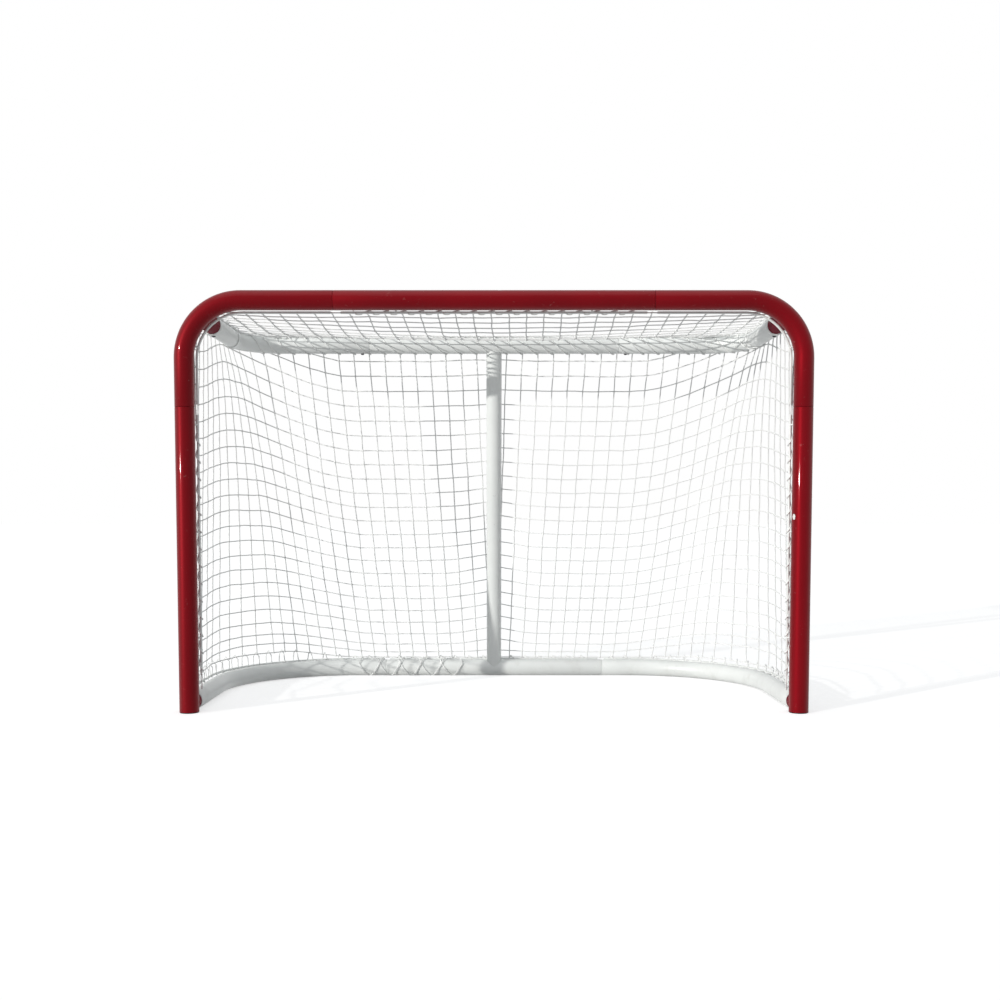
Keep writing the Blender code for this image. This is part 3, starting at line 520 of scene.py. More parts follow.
def bent_path(start, corner, end, radius, steps):
    """Points and directions along two straight legs with a round bend between them."""
    first = (corner - start).normalized()
    second = (end - corner).normalized()
    centre = corner - first * radius + second * radius
    path = [(start, first)]
    for index in range(steps + 1):
        angle = math.pi / 2 * index / steps
        point = centre - second * radius * math.cos(angle) + first * radius * math.sin(angle)
        path.append((point, turned(first, second, angle)))
    path.append((end, second))
    return path


def ended_path(path, ends, radius):
    """Sections along a path whose ends are given as runs and radii."""
    (start, first), *middle, (end, last) = path
    return ([(start + first * run, first, size) for run, size in ends]
            + [(point, along, radius) for point, along in middle]
            + [(end - last * run, last, size) for run, size in reversed(ends)])


def bent_sections(path):
    """Outer and inner sections of a bent tube with open ends, their edges slightly rounded."""
    return ended_path(path, BENT_SKIN, TUBE_R), [(point, along, BORE_R) for point, along in path]


def straight_sections(start, end, swaged_start, swaged_end):
    """Outer and inner sections of a straight tube, its ends swaged or plain."""
    along = (end - start).normalized()
    walls = []
    for swaged, plain in ((SWAGED_SKIN, PLAIN_SKIN), (SWAGED_BORE, PLAIN_BORE)):
        first = swaged if swaged_start else plain
        last = swaged if swaged_end else plain
        walls.append([(start + along * run, along, radius) for run, radius in first]
                     + [(end - along * run, along, radius) for run, radius in reversed(last)])
    return walls


def add_tube(shape, skin, bore, square, sides):
    """A tube wall, closed over both ends."""
    shape.skin([round_section(centre, along, square, radius, sides)
                for centre, along, radius in skin + bore[::-1]], closed=True)


def add_spigot(shape, root, reach, sizes, seat):
    """A spigot to the rear, with a rippled weld bead where it leaves the skin of its tube.

    The root is on the tube's axis. The seat gives, for a place round the spigot, how far
    that skin is from the axis.
    """
    start = root + Y_AXIS * (TUBE_R - TUBE_WALL - SPIGOT_ROOT)
    end = root + Y_AXIS * reach
    add_tube(shape, [(start, Y_AXIS, SPIGOT_R), (end - Y_AXIS * LIP, Y_AXIS, SPIGOT_R),
                     (end, Y_AXIS, SPIGOT_R - LIP)],
             [(start, Y_AXIS, SPIGOT_BORE_R), (end, Y_AXIS, SPIGOT_BORE_R)], Z_AXIS, sizes.sides)
    rows = []
    steps = WELD_RIPPLES * WELD_STEPS
    for index in range(steps):
        angle = math.tau * index / steps
        out = turned(X_AXIS, Z_AXIS, angle)
        centre = root + out * (SPIGOT_R + sizes.bead * 0.35)
        centre = centre + Y_AXIS * (seat(centre) + sizes.bead * 0.15)
        size = sizes.bead * (1.0 + RIPPLE_SHARE * math.cos(WELD_RIPPLES * angle)
                             + WANDER_SHARE * noise.noise(centre * WANDER_SCALE))
        rows.append([centre + size * turned(out, 0.9 * Y_AXIS, math.tau * k / WELD_SIDES)
                     for k in range(WELD_SIDES)])
        for point in rows[-1]:
            point.z = max(point.z, GROUND_GAP)
    shape.skin(rows, closed=True)


def tube_skin_depth(offset):
    """How far behind the axis the skin of a tube lies, at an offset from that axis."""
    return math.sqrt(max(0.0, TUBE_R ** 2 - offset ** 2))


class GOAL_OT_front_frame(bpy.types.Operator):
    """Crossbar, two bent corners and two posts, with their welded spigots"""
    bl_idname = "goal.front_frame"
    bl_label = "Front frame"

    def execute(self, context):
        seams = [at(side * CROSSBAR_SEAM_X, 0, BAR_Z) for side, _ in HALVES]
        shape = Shape()
        add_tube(shape, *straight_sections(*seams, True, True), Y_AXIS,
                 context.scene.goal_tubes.sides)
        shape.settle(context, "crossbar_tube", "red_paint", "crossbar")
        for side, word in HALVES:
            self.corner(context, side, word)
            self.post(context, side, word)
        return {"FINISHED"}

    def corner(self, context, side, word):
        sizes = context.scene.goal_tubes
        radius = sizes.corner_radius
        middle = at(side * (POST_X - radius), 0, BAR_Z - radius)
        path = bent_path(at(side * CROSSBAR_SEAM_X, 0, BAR_Z), at(side * POST_X, 0, BAR_Z),
                         at(side * POST_X, 0, POST_SEAM_Z), radius, CORNER_STEPS)

        def seat(point):
            from_middle = math.hypot(point.x - middle.x, point.z - middle.z)
            return tube_skin_depth(from_middle - radius)
        shape = Shape()
        add_tube(shape, *bent_sections(path), Y_AXIS, sizes.sides)
        add_spigot(shape, at(side * SIDE_X, 0, TOP_Z), TOP_MOUTH_Y + INSERTION, sizes, seat)
        shape.settle(context, word + "_corner_tube", "red_paint", word + "_corner")

    def post(self, context, side, word):
        sizes = context.scene.goal_tubes
        foot = at(side * POST_X, 0, FOOT_FLANGE + FIT_GAP)
        seam = at(side * POST_X, 0, POST_SEAM_Z)
        shape = Shape()
        add_tube(shape, *straight_sections(foot, seam, False, True), Y_AXIS, sizes.sides)
        root = at(side * POST_X, 0, BASE_Z)
        add_spigot(shape, root, BASE_MOUTH_Y + INSERTION, sizes,
                   lambda point: tube_skin_depth(point.x - root.x))
        shape.settle(context, word + "_post_tube", "red_paint", word + "_post")


class GOAL_OT_feet(bpy.types.Operator):
    """Black plugs that close the posts and stand on the ground"""
    bl_idname = "goal.feet"
    bl_label = "Feet"

    def execute(self, context):
        rim = TUBE_R - FIT_GAP
        plug = BORE_R - FIT_GAP
        profile = ((0.0, rim - 0.0016), (0.0003, rim - 0.0007), (0.0010, rim),
                   (FOOT_FLANGE - 0.0003, rim), (FOOT_FLANGE, rim - 0.0003), (FOOT_FLANGE, plug),
                   (FOOT_FLANGE + FOOT_PLUG * 0.8, plug),
                   (FOOT_FLANGE + FOOT_PLUG, plug - 0.0015))
        for side, word in HALVES:
            shape = Shape()
            shape.skin([round_section(at(side * POST_X, 0, height), Z_AXIS, Y_AXIS, radius,
                                      context.scene.goal_tubes.sides)
                        for height, radius in profile])
            shape.settle(context, word + "_foot_plug", "black_plastic", word + "_foot")
        return {"FINISHED"}


def rear_frame(context, nodes, height, half_width, depth, radius, seam, mouth, steps, lean):
    """Two bent arms and a rear bar with a spigot that leans along the upright."""
    sides = context.scene.goal_tubes.sides
    *arms, bar = nodes
    for (side, _), node in zip(HALVES, arms):
        path = bent_path(at(side * half_width, mouth, height), at(side * half_width, depth, height),
                         at(side * seam, depth, height), radius, steps)
        shape = Shape()
        add_tube(shape, *bent_sections(path), Z_AXIS, sides)
        shape.settle(context, node + "_tube", "white_paint", node)
    shape = Shape()
    add_tube(shape, *straight_sections(at(-seam, depth, height), at(seam, depth, height),
                                       True, True), Z_AXIS, sides)
    middle = at(0, depth, height)
    ends = middle + lean * (TUBE_R - UPRIGHT_ROOT), middle + lean * (TUBE_R + UPRIGHT_SPIGOT)
    skin, bore = [[(end, lean, UPRIGHT_BORE_R - FIT_GAP - wall) for end in ends]
                  for wall in (0.0, TUBE_WALL)]
    add_tube(shape, skin, bore, X_AXIS, sides)
    shape.settle(context, bar + "_tube", "white_paint", bar)


def upright_ends():
    """Axis points of the rear bars where the upright meets them, and its direction."""
    top, base = at(0, TOP_DEPTH, TOP_Z), at(0, BASE_DEPTH, BASE_Z)
    return top, base, (top - base).normalized()


class GOAL_OT_top_frame(bpy.types.Operator):
    """White top frame: two bent arms and the rear bar"""
    bl_idname = "goal.top_frame"
    bl_label = "Top frame"

    def execute(self, context):
        rear_frame(context, ("top_left_bend", "top_right_bend", "top_rear_bar"), TOP_Z, SIDE_X,
                   TOP_DEPTH, context.scene.goal_tubes.top_bend_radius, TOP_SEAM_X, TOP_MOUTH_Y,
                   CORNER_STEPS, -upright_ends()[2])
        return {"FINISHED"}


class GOAL_OT_base_frame(bpy.types.Operator):
    """White base frame: two wide arms and the rear bar"""
    bl_idname = "goal.base_frame"
    bl_label = "Base frame"

    def execute(self, context):
        rear_frame(context, ("base_left_arm", "base_right_arm", "base_rear_bar"), BASE_Z, POST_X,
                   BASE_DEPTH, context.scene.goal_tubes.base_bend_radius, BASE_SEAM_X,
                   BASE_MOUTH_Y, BASE_BEND_STEPS, upright_ends()[2])
        return {"FINISHED"}


class GOAL_OT_upright(bpy.types.Operator):
    """Sloping tube at the rear, its ends cut to sit on the bars"""
    bl_idname = "goal.upright"
    bl_label = "Upright"

    def execute(self, context):
        sides = context.scene.goal_tubes.sides
        top, base, along = upright_ends()
        normal = along.cross(X_AXIS).normalized()
        reach = TUBE_R + FIT_GAP
        rows = []
        for radius, ends in ((UPRIGHT_R, ((base, 1), (top, -1))),
                             (UPRIGHT_BORE_R, ((top, -1), (base, 1)))):
            for end, way in ends:
                row = []
                for index in range(sides):
                    angle = math.tau * index / sides
                    across = radius * math.sin(angle)
                    back = math.sqrt(reach ** 2 - across ** 2)
                    row.append(end + way * back * along + across * normal
                               + radius * math.cos(angle) * X_AXIS)
                rows.append(row)
        shape = Shape()
        shape.skin(rows, closed=True)
        shape.settle(context, "rear_upright_tube", "white_paint", "rear_upright")
        return {"FINISHED"}


class Tree(Nodes):
    """A geometry node tree with named inputs."""

    def __init__(self, name, inputs):
        super().__init__(bpy.data.node_groups.new(name, "GeometryNodeTree"))
        self.tree.is_modifier = True
        face = self.tree.interface
        self.keys = {}
        face.new_socket("Geometry", in_out="INPUT", socket_type="NodeSocketGeometry")
        for label, kind, default in (*inputs, ("Material", "Material", None)):
            socket = face.new_socket(label, in_out="INPUT", socket_type="NodeSocket" + kind)
            if default is not None:
                socket.default_value = default
            self.keys[label] = socket.identifier
        face.new_socket("Geometry", in_out="OUTPUT", socket_type="NodeSocketGeometry")
        self.given = self.node("NodeGroupInput").outputs

    def geometry(self, kind, **inputs):
        """Add a geometry node whose sockets are named by words joined with underscores."""
        return self.node("GeometryNode" + kind, None,
                         {key.replace("_", " "): value for key, value in inputs.items()})

    def tube(self, lines, sides, radius):
        """A round tube along lines of mesh edges."""
        return self.geometry("CurveToMesh", Curve=self.geometry("MeshToCurve", Mesh=lines),
                             Profile_Curve=self.geometry("CurvePrimitiveCircle",
                                                         Resolution=sides, Radius=radius),
                             Fill_Caps=True)

    def finish(self, shape):
        """Realise the instances, set the material and hand the result out."""
        real = self.geometry("RealizeInstances", Geometry=shape)
        smoothed = self.geometry("SetShadeSmooth", Geometry=real)
        done = self.geometry("SetMaterial", Geometry=smoothed, Material=self.given["Material"])
        self.node("NodeGroupOutput", None, {0: done})
        return self

    def apply(self, piece, values):
        """Run the tree on an object and keep the result as a plain mesh."""
        modifier = piece.modifiers.new(self.tree.name, "NODES")
        modifier.node_group = self.tree
        for label, value in values.items():
            modifier[self.keys[label]] = value
        bpy.context.view_layer.update()
        graph = bpy.context.evaluated_depsgraph_get()
        mesh = bpy.data.meshes.new_from_object(piece.evaluated_get(graph))
        piece.modifiers.clear()
        piece.data = mesh
        mesh.name = piece.name


def line_piece(name, points, edges):
    """An object of bare points and lines, for a node tree to work on."""
    mesh = bpy.data.meshes.new(name)
    mesh.from_pydata(points, edges, [])
    return new_object(name, mesh)


def net_tree():
    """Twine along every line of a mesh, with a knot on each of its points."""
    tree = Tree("Knotted twine", (("Twine radius", "Float", 0.002), ("Knot radius", "Float", 0.004),
                                  ("Waver", "Float", 0.006), ("Waver scale", "Float", 9.0),
                                  ("Seed", "Int", 4)))
    given = tree.given
    cloud = tree.node("ShaderNodeTexNoise", None,
                      {"Vector": tree.geometry("InputPosition"), "Scale": given["Waver scale"],
                       "Detail": 2.0})
    centred = tree.node("ShaderNodeVectorMath", {"operation": "SUBTRACT"},
                        {0: cloud.outputs["Color"], 1: (0.5, 0.5, 0.5)})
    offset = tree.node("ShaderNodeVectorMath", {"operation": "SCALE"},
                       {0: centred, "Scale": given["Waver"]})
    finer = tree.geometry("SubdivideMesh", Mesh=given["Geometry"], Level=1)
    twine = tree.tube(tree.geometry("SetPosition", Geometry=finer, Offset=offset), TWINE_SIDES,
                      given["Twine radius"])
    spots = tree.geometry("SetPosition", Geometry=given["Geometry"], Offset=offset)
    ball = tree.geometry("MeshIcoSphere", Radius=given["Knot radius"], Subdivisions=1)
    turn = tree.node("FunctionNodeRandomValue", {"data_type": "FLOAT_VECTOR"},
                     {"Max": (math.tau, math.tau, math.tau), "Seed": given["Seed"]})
    knots = tree.geometry("InstanceOnPoints", Points=spots, Instance=ball, Rotation=turn,
                          Scale=KNOT_STRETCH)
    return tree.finish(tree.geometry("JoinGeometry", Geometry=[twine, knots]))


def cord_tree():
    """A round cord along every line of a mesh."""
    tree = Tree("Round cord", (("Radius", "Float", 0.002), ("Sides", "Int", 8)))
    given = tree.given
    return tree.finish(tree.tube(given["Geometry"], given["Sides"], given["Radius"]))


def screw_tree():
    """A screw on every point of a mesh, turned the way the point faces."""
    tree = Tree("Screws on points", (("Screw", "Object", None),))
    facing = tree.node("GeometryNodeInputNamedAttribute", {"data_type": "FLOAT_VECTOR"},
                       {"Name": "facing"}).outputs["Attribute"]
    turn = tree.node("FunctionNodeAlignRotationToVector", {"axis": "Z"}, {"Vector": facing})
    screw = tree.geometry("ObjectInfo", Object=tree.given["Screw"]).outputs["Geometry"]
    return tree.finish(tree.geometry("InstanceOnPoints", Points=tree.given["Geometry"],
                                     Instance=screw, Rotation=turn))


# From the tip of the shank to the top of the head: height and radius
SCREW_PROFILE = ((-0.0115, 0.0020), (-0.0105, 0.0030), (-0.0036, 0.0030), (-0.0036, 0.0056),
                 (-0.0034, 0.0060), (-0.0026, 0.0060), (-0.0012, 0.0053), (-0.0003, 0.0041),
                 (0.0, 0.0030))
# The socket in the head: height and half the width across its flats
HEXAGON = ((-0.0002, 0.0019), (-0.0020, 0.0018))
SCREW_SIDES = 24
SCREWED_JOINTS = (("crossbar", Y_AXIS), ("post", Y_AXIS), ("top_arm", -Z_AXIS),
                  ("top_bar", -Z_AXIS), ("base_arm", X_AXIS), ("base_bar", Y_AXIS))


class GOAL_OT_screws(bpy.types.Operator):
    """Pan head screws with a hexagon socket, one at every joint between two tubes"""
    bl_idname = "goal.screws"
    bl_label = "Screws"

    def execute(self, context):
        steel = finish_for(context, "black_steel")
        points, facings, nodes = [], [], []
        for joint, outward in SCREWED_JOINTS:
            for side, word in HALVES:
                nodes.append(word + "_" + joint + "_screw")
                facings.append(outward * side if joint == "base_arm" else outward)
                low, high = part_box(nodes[-1])
                points.append((low + high) / 2 + facings[-1] * ((high - low) / 2))
        screws = line_piece("joint_screws", points, [])
        facing = screws.data.attributes.new("facing", "FLOAT_VECTOR", "POINT")
        for target, way in zip(facing.data, facings):
            target.vector = way
        pattern = self.screw(steel)
        screw_tree().apply(screws, {"Screw": pattern, "Material": steel})
        bpy.data.objects.remove(pattern)
        settle(screws, "black_steel", *nodes)
        return {"FINISHED"}

    def screw(self, steel):
        """One screw: the top of its head is at the origin and faces up."""
        rows = [round_section(Z_AXIS * height, Z_AXIS, Y_AXIS, radius, SCREW_SIDES)
                for height, radius in SCREW_PROFILE]
        angles = [math.tau * index / SCREW_SIDES for index in range(SCREW_SIDES)]
        for height, flat in HEXAGON:
            spokes = [flat / math.cos(angle % (math.pi / 3) - math.pi / 6) for angle in angles]
            rows.append([Vector((-spoke * math.cos(angle), spoke * math.sin(angle), height))
                         for spoke, angle in zip(spokes, angles)])
        shape = Shape()
        shape.skin(rows)
        return shape.piece("screw_pattern", steel)


def rail(run, half_width, depth, bend, height):
    """Place and outward direction on a U-shaped tube, at a run from its rear middle."""
    flat = half_width - bend
    distance = abs(run)
    if distance <= flat:
        return at(run, depth, height), Y_AXIS.copy()
    side = math.copysign(1, run)
    angle = min(math.pi / 2, (distance - flat) / bend)
    outward = Vector((side * math.sin(angle), math.cos(angle), 0))
    past = max(0.0, distance - flat - bend * math.pi / 2)
    return at(side * flat, depth - bend - past, height) + bend * outward, outward


def top_rail(context, run):
    return rail(run, SIDE_X, TOP_DEPTH, context.scene.goal_tubes.top_bend_radius, TOP_Z)


def base_rail(context, run):
    return rail(run, POST_X, BASE_DEPTH, context.scene.goal_tubes.base_bend_radius, BASE_Z)


def rail_length(half_width, depth, bend, front):
    """Run from the rear middle to a place on the arm."""
    return half_width - bend + bend * math.pi / 2 + depth - bend - front


TWINE_SIDES = 6
KNOT_STRETCH = (1.15, 0.80, 0.80)
WAVER_SCALE = 11.0
HANGING_SEED, ROOF_SEED = 4, 9

# Shares of the way round the hanging net, from the rear middle to the posts
BESIDE_UPRIGHT = (0.03, 0.15)   # where the back net begins to hang in
BEFORE_CORNER = (0.40, 0.62)    # where it comes back out, and the base edge begins to rise
REAR_CORNER = 0.66
CORNER_SPREAD = 0.14
BY_THE_POST = 0.93              # from here on the net turns in to the post's rod
TOWARD_POST = (0.80, 0.98)      # where the base edge sinks again
LEAN_AT_MIDDLE = 0.010          # how far the columns by the upright stand off to the left
LEAN_COLUMNS = 12               # and how many of them do

# Shares of the net's height
LEFT_RISE, RIGHT_RISE = 0.030, 0.009    # of the base edge
COUNTED_ROWS = 24               # the next two hold for this number of rows
ROW_STEP, ROW_CLOSING = 0.04558, 0.000141   # of the first row, and how the rows close up
SINK, SINK_BELOW = 0.006, 0.018     # of the rows away from the upright, and more lower down
LEAST_STEP = 0.010              # between rows where they rise to the top edge
CORNER_FADE = 0.085             # how much less the rows rise at the corners lower down

# Shares of the corner's pull that go inwards and forwards
PULL_IN, PULL_FORWARD = 0.75, 0.66


def net_edges(context):
    """Half width, depth and bend radius of the hanging net's top edge and base edge."""
    tubes = context.scene.goal_tubes
    return [(half_width + out, depth + out, bend + out) for half_width, depth, bend, out in
            ((SIDE_X, TOP_DEPTH, tubes.top_bend_radius, HANG_OUT),
             (POST_X, BASE_DEPTH, tubes.base_bend_radius, ROD_BASE_OUT))]


def column_runs(context, column):
    """How far round the top edge and the base edge a column of the net lies."""
    sizes = context.scene.goal_net
    top_end, base_end = [rail_length(*edge, NET_FRONT_Y) for edge in net_edges(context)]
    side = -1 if column < 0 else 1
    count = abs(column)
    even = sizes.even_columns
    top = sizes.top_pitch * min(count, even)
    base = max(0.0, sizes.base_pitch * min(count, even + 1) - sizes.lean)
    if count > even:
        top += (count - even) / (sizes.columns - even) * (top_end - top)
    if count > even + 1:
        base += (count - even - 1) / (sizes.columns - even - 1) * (base_end - base)
    shift = -LEAN_AT_MIDDLE * max(0.0, 1 - count / LEAN_COLUMNS)
    return side * top + shift, side * base + 0.3 * shift


def border_rise(column, columns):
    """How far the lower edge hangs above the base, as a share: more on the left."""
    share = abs(column) / columns
    return ((LEFT_RISE if column < 0 else RIGHT_RISE) * smooth(*BEFORE_CORNER, share)
            * (1 - 0.8 * smooth(*TOWARD_POST, share)))


def row_level(context, column, row):
    """How far down the net a row lies: it rises at the rear corners."""
    sizes = context.scene.goal_net
    share = abs(column) / sizes.columns
    if row == 0:
        return 0.0
    if row == sizes.rows:
        return 1.0 - border_rise(column, sizes.columns)
    count = COUNTED_ROWS * row / sizes.rows
    level = ROW_STEP * count - ROW_CLOSING * count ** 2
    away = 1 - math.exp(-(share / 0.09) ** 2)
    corner = smooth(0.33, REAR_CORNER, share) * (1 - 0.45 * smooth(0.72, 0.95, share))
    sunk = (SINK + SINK_BELOW * min(1.0, level / 0.7)) * min(1.0, (1 - level) / 0.08) * away
    return max(LEAST_STEP * row,
               level + sunk - (sizes.corner_lift - CORNER_FADE * level) * corner)


def hang_point(context, column, row):
    """A crossing of the hanging net, columns counted from the rear middle."""
    sizes = context.scene.goal_net
    level = row_level(context, column, row)
    side = -1 if column < 0 else 1
    share = abs(column) / sizes.columns
    heights = TOP_Z + HANG_UP, BASE_Z + ROD_BASE_UP + BORDER_RISE
    high, low = [rail(run, *edge, height)[0] for run, edge, height in
                 zip(column_runs(context, column), net_edges(context), heights)]
    point = high.lerp(low, level)
    pull = (sizes.corner_pull * math.exp(-((share - REAR_CORNER) / CORNER_SPREAD) ** 2)
            * math.sin(math.pi * min(1.0, level) ** 0.6))
    point.x -= side * pull * PULL_IN
    point.y -= pull * PULL_FORWARD
    point.y -= (sizes.back_sag * smooth(*BESIDE_UPRIGHT, share)
                * (1 - smooth(*BEFORE_CORNER, share))
                * math.sin(math.pi * min(1.0, level) ** 0.8))
    if share > BY_THE_POST:
        inside = side * (POST_X - ROD_INWARD)
        target = high.x + (inside - high.x) * min(1.0, 2 * level)
        point.x += (target - point.x) * (share - BY_THE_POST) / (1 - BY_THE_POST)
    return point


def hanging_grid(context):
    """Crossings of the hanging net, column by column from the front left."""
    sizes = context.scene.goal_net
    return [[hang_point(context, column, row) for row in range(sizes.rows + 1)]
            for column in range(-sizes.columns, sizes.columns + 1)]


def roof_point(context, across, reach):
    """A crossing of the roof net: across from -1 to 1, and reach back from 0 to 1."""
    sizes = context.scene.goal_net
    bend = context.scene.goal_tubes.top_bend_radius
    inner = (TUBE_R + ROOF_SEAT_GAP) * math.cos(ROOF_SEAT)
    seat_z = TOP_Z + (TUBE_R + ROOF_SEAT_GAP) * math.sin(ROOF_SEAT)
    front_z = BAR_Z - ROD_INWARD
    flat = SIDE_X - bend
    full = SIDE_X - inner
    depth = NET_FRONT_Y + (TOP_DEPTH - inner - NET_FRONT_Y) * reach
    past = depth - (TOP_DEPTH - bend)
    half = full if past <= 0 else flat + math.sqrt(max(0.0, (bend - inner) ** 2 - past ** 2))
    middle = math.cos(math.pi * across / 2)
    x = across * full + across ** 5 * (half - full)
    x += (sizes.roof_shift * reach - LEAN_AT_MIDDLE) * middle
    spread = max(0.0, (abs(x) - flat) / bend)
    height = front_z + (seat_z - front_z) * max(reach, spread)
    height -= sizes.roof_sag * math.sin(math.pi * reach ** 1.25) * middle
    return at(x, depth, height)


def roof_grid(context):
    """Crossings of the roof net, column by column from the left, each from the front."""
    sizes = context.scene.goal_net
    columns, rows = sizes.roof_columns, sizes.roof_rows
    return [[roof_point(context, column / columns, row / rows) for row in range(rows + 1)]
            for column in range(-columns, columns + 1)]


def grid_lines(columns, own_first=True, own_last=True):
    """Points and lines of a grid; an end column that is shared belongs to one piece."""
    rows = len(columns[0])
    points = [point for column in columns for point in column]
    edges = []
    for i in range(len(columns)):
        owned = (i > 0 or own_first) and (i + 1 < len(columns) or own_last)
        for j in range(rows):
            if i + 1 < len(columns):
                edges.append((i * rows + j, (i + 1) * rows + j))
            if j + 1 < rows and owned:
                edges.append((i * rows + j, i * rows + j + 1))
    return points, edges


class GOAL_OT_nets(bpy.types.Operator):
    """Knotted nets at the back, both sides and the roof"""
    bl_idname = "goal.nets"
    bl_label = "Nets"

    def execute(self, context):
        sizes = context.scene.goal_net
        tree = net_tree()
        hanging = hanging_grid(context)
        seam = round(SEAM_RUN / sizes.top_pitch)
        left, right = sizes.columns - seam, sizes.columns + seam
        for node, columns, owns, seed in (
                ("net_left", hanging[:left + 1], (True, False), HANGING_SEED),
                ("net_back", hanging[left:right + 1], (True, True), HANGING_SEED),
                ("net_right", hanging[right:], (False, True), HANGING_SEED),
                ("net_top", roof_grid(context), (True, True), ROOF_SEED)):
            piece = line_piece(node + "_mesh", *grid_lines(columns, *owns))
            tree.apply(piece, {"Twine radius": sizes.twine / 2, "Knot radius": sizes.knot,
                               "Waver": sizes.waver, "Waver scale": WAVER_SCALE, "Seed": seed,
                               "Material": finish_for(context, "white_twine")})
            settle(piece, "white_twine", node)
        return {"FINISHED"}


# Gaps between a cord and what it lies on or passes over
TUBE_CLEAR = 0.0004
STRAND_CLEAR = 0.0006
ROD_CLEAR = 0.0003
OVER_TWINE = 0.0006

# Width of the swell where a cord passes over the net's edge, in radians round the tube or rod
TUBE_SWELL, ROD_SWELL, BASE_SWELL = 0.30, 0.7, 0.55

CORD_SIDES = 8
KNOT_STEPS = 24
TUBE_TURN_STEPS = 22            # points in each turn round a tube
ROD_TURN_STEPS = 18             # and round a rod
THIN_CORD_R = 0.0014            # of the cord on the crossbar's rod

# The top frame: runs from the rear middle
TOP_LACED = 0.95                # at most this far to both sides
TOP_LACED_SHIFT = 0.005         # of all turns, to the right
ARM_PITCH = 0.110               # of the one wide turn on each arm
ARM_TURN_GAP = 0.030
STRANDS_END_Y = 0.210
STRANDS_START, STRAND_SHIFT = 0.66, 0.02
STRAND_LAYS = (97, 104, 111, 118)   # degrees round the arm, from its outer side over the top
STRAND_SWAY = 2                 # degrees to both sides
STRAND_EASE = 16                # degrees further in at the start
STRAND_POINTS = 60
KNOTS_FROM_END = (0.06, 0.20)
KNOT_R, KNOT_OFF = 0.0055, 0.006    # a knot's half width, and its middle off the tube's skin
KNOT_UP, KNOT_IN = 0.766, 0.643     # the way from the arm's axis to a knot

# The rods: laced length at most, height above the ground, runs from the rear middle, and how
# far the last one stops behind the front plane
BAR_LACED, POST_LACED = 0.90, 0.80
POST_LACED_FROM = 0.125
REAR_LACED_TO, ARM_LACED_FROM = 0.385, 0.430
ARM_LACED_TO_Y = 0.090

# The net's edge over the base rods, as in the net above
NET_HEIGHT = 1.155
EVEN_BASE_RUN, WIDE_PITCH = 0.91, 0.0766
LOOP_SLACK = 0.004

# The crossed lacing on the left half of the base's rear bar
CROSSED_START = -0.512
CROSSED_PITCH = 0.0785
CROSSED_TURNS = 5
CROSSED_STEPS = 24
CROSSED_AT = math.radians(148)


def wrapped(rail_at, start, turns, pitch, radius_at, advance, steps, first_angle):
    """Points of a cord that winds round a rail.

    The rail gives its axis and the directions at 0 and 90 degrees. The radius is given by
    the angle and the place along the rail, and the advance by the share of a turn.
    """
    points = []
    for index in range(turns * steps + 1):
        turn, step = divmod(index, steps)
        share = step / steps
        angle = math.radians(first_angle) + math.tau * share
        place = start + (turn + advance(share)) * pitch
        axis, first, second = rail_at(place)
        points.append(axis + radius_at(angle % math.tau, place) * turned(first, second, angle))
    return points


def round_rod(rail_at, start, turns, pitch, radius_at, first_angle):
    """Loops round a rod: the cord runs on along it late in each turn."""
    return wrapped(rail_at, start, turns, pitch, radius_at, lambda share: share ** 2.2,
                   ROD_TURN_STEPS, first_angle)


def cord_piece(tree, context, node, runs, radius=None):
    """One object of cord along several runs of points, for the solid of that name."""
    points, edges = [], []
    for run in runs:
        edges += [(len(points) + k, len(points) + k + 1) for k in range(len(run) - 1)]
        points += run
    piece = line_piece(node + "_cord", points, edges)
    tree.apply(piece, {"Radius": radius or context.scene.goal_net.cord / 2,
                       "Sides": CORD_SIDES, "Material": finish_for(context, "white_twine")})
    settle(piece, "white_twine", node)


def bumped(base, bumps):
    """A radius that grows where the cord passes over something: angle, height and width."""
    def radius_at(angle, place):
        return base + sum(height * swell(angle, centre, width)
                          for centre, height, width in bumps)
    return radius_at


def knot_points(centre, radius, seed):
    """A small overhand knot: a few crossed turns round a place."""
    points = []
    for index in range(KNOT_STEPS + 1):
        turn = math.tau * index / KNOT_STEPS * 2
        points.append(centre + radius * Vector((math.cos(turn + seed),
                                                math.sin(turn * 1.5 + seed) * 0.8,
                                                math.sin(turn + seed) * 0.9)))
    return points


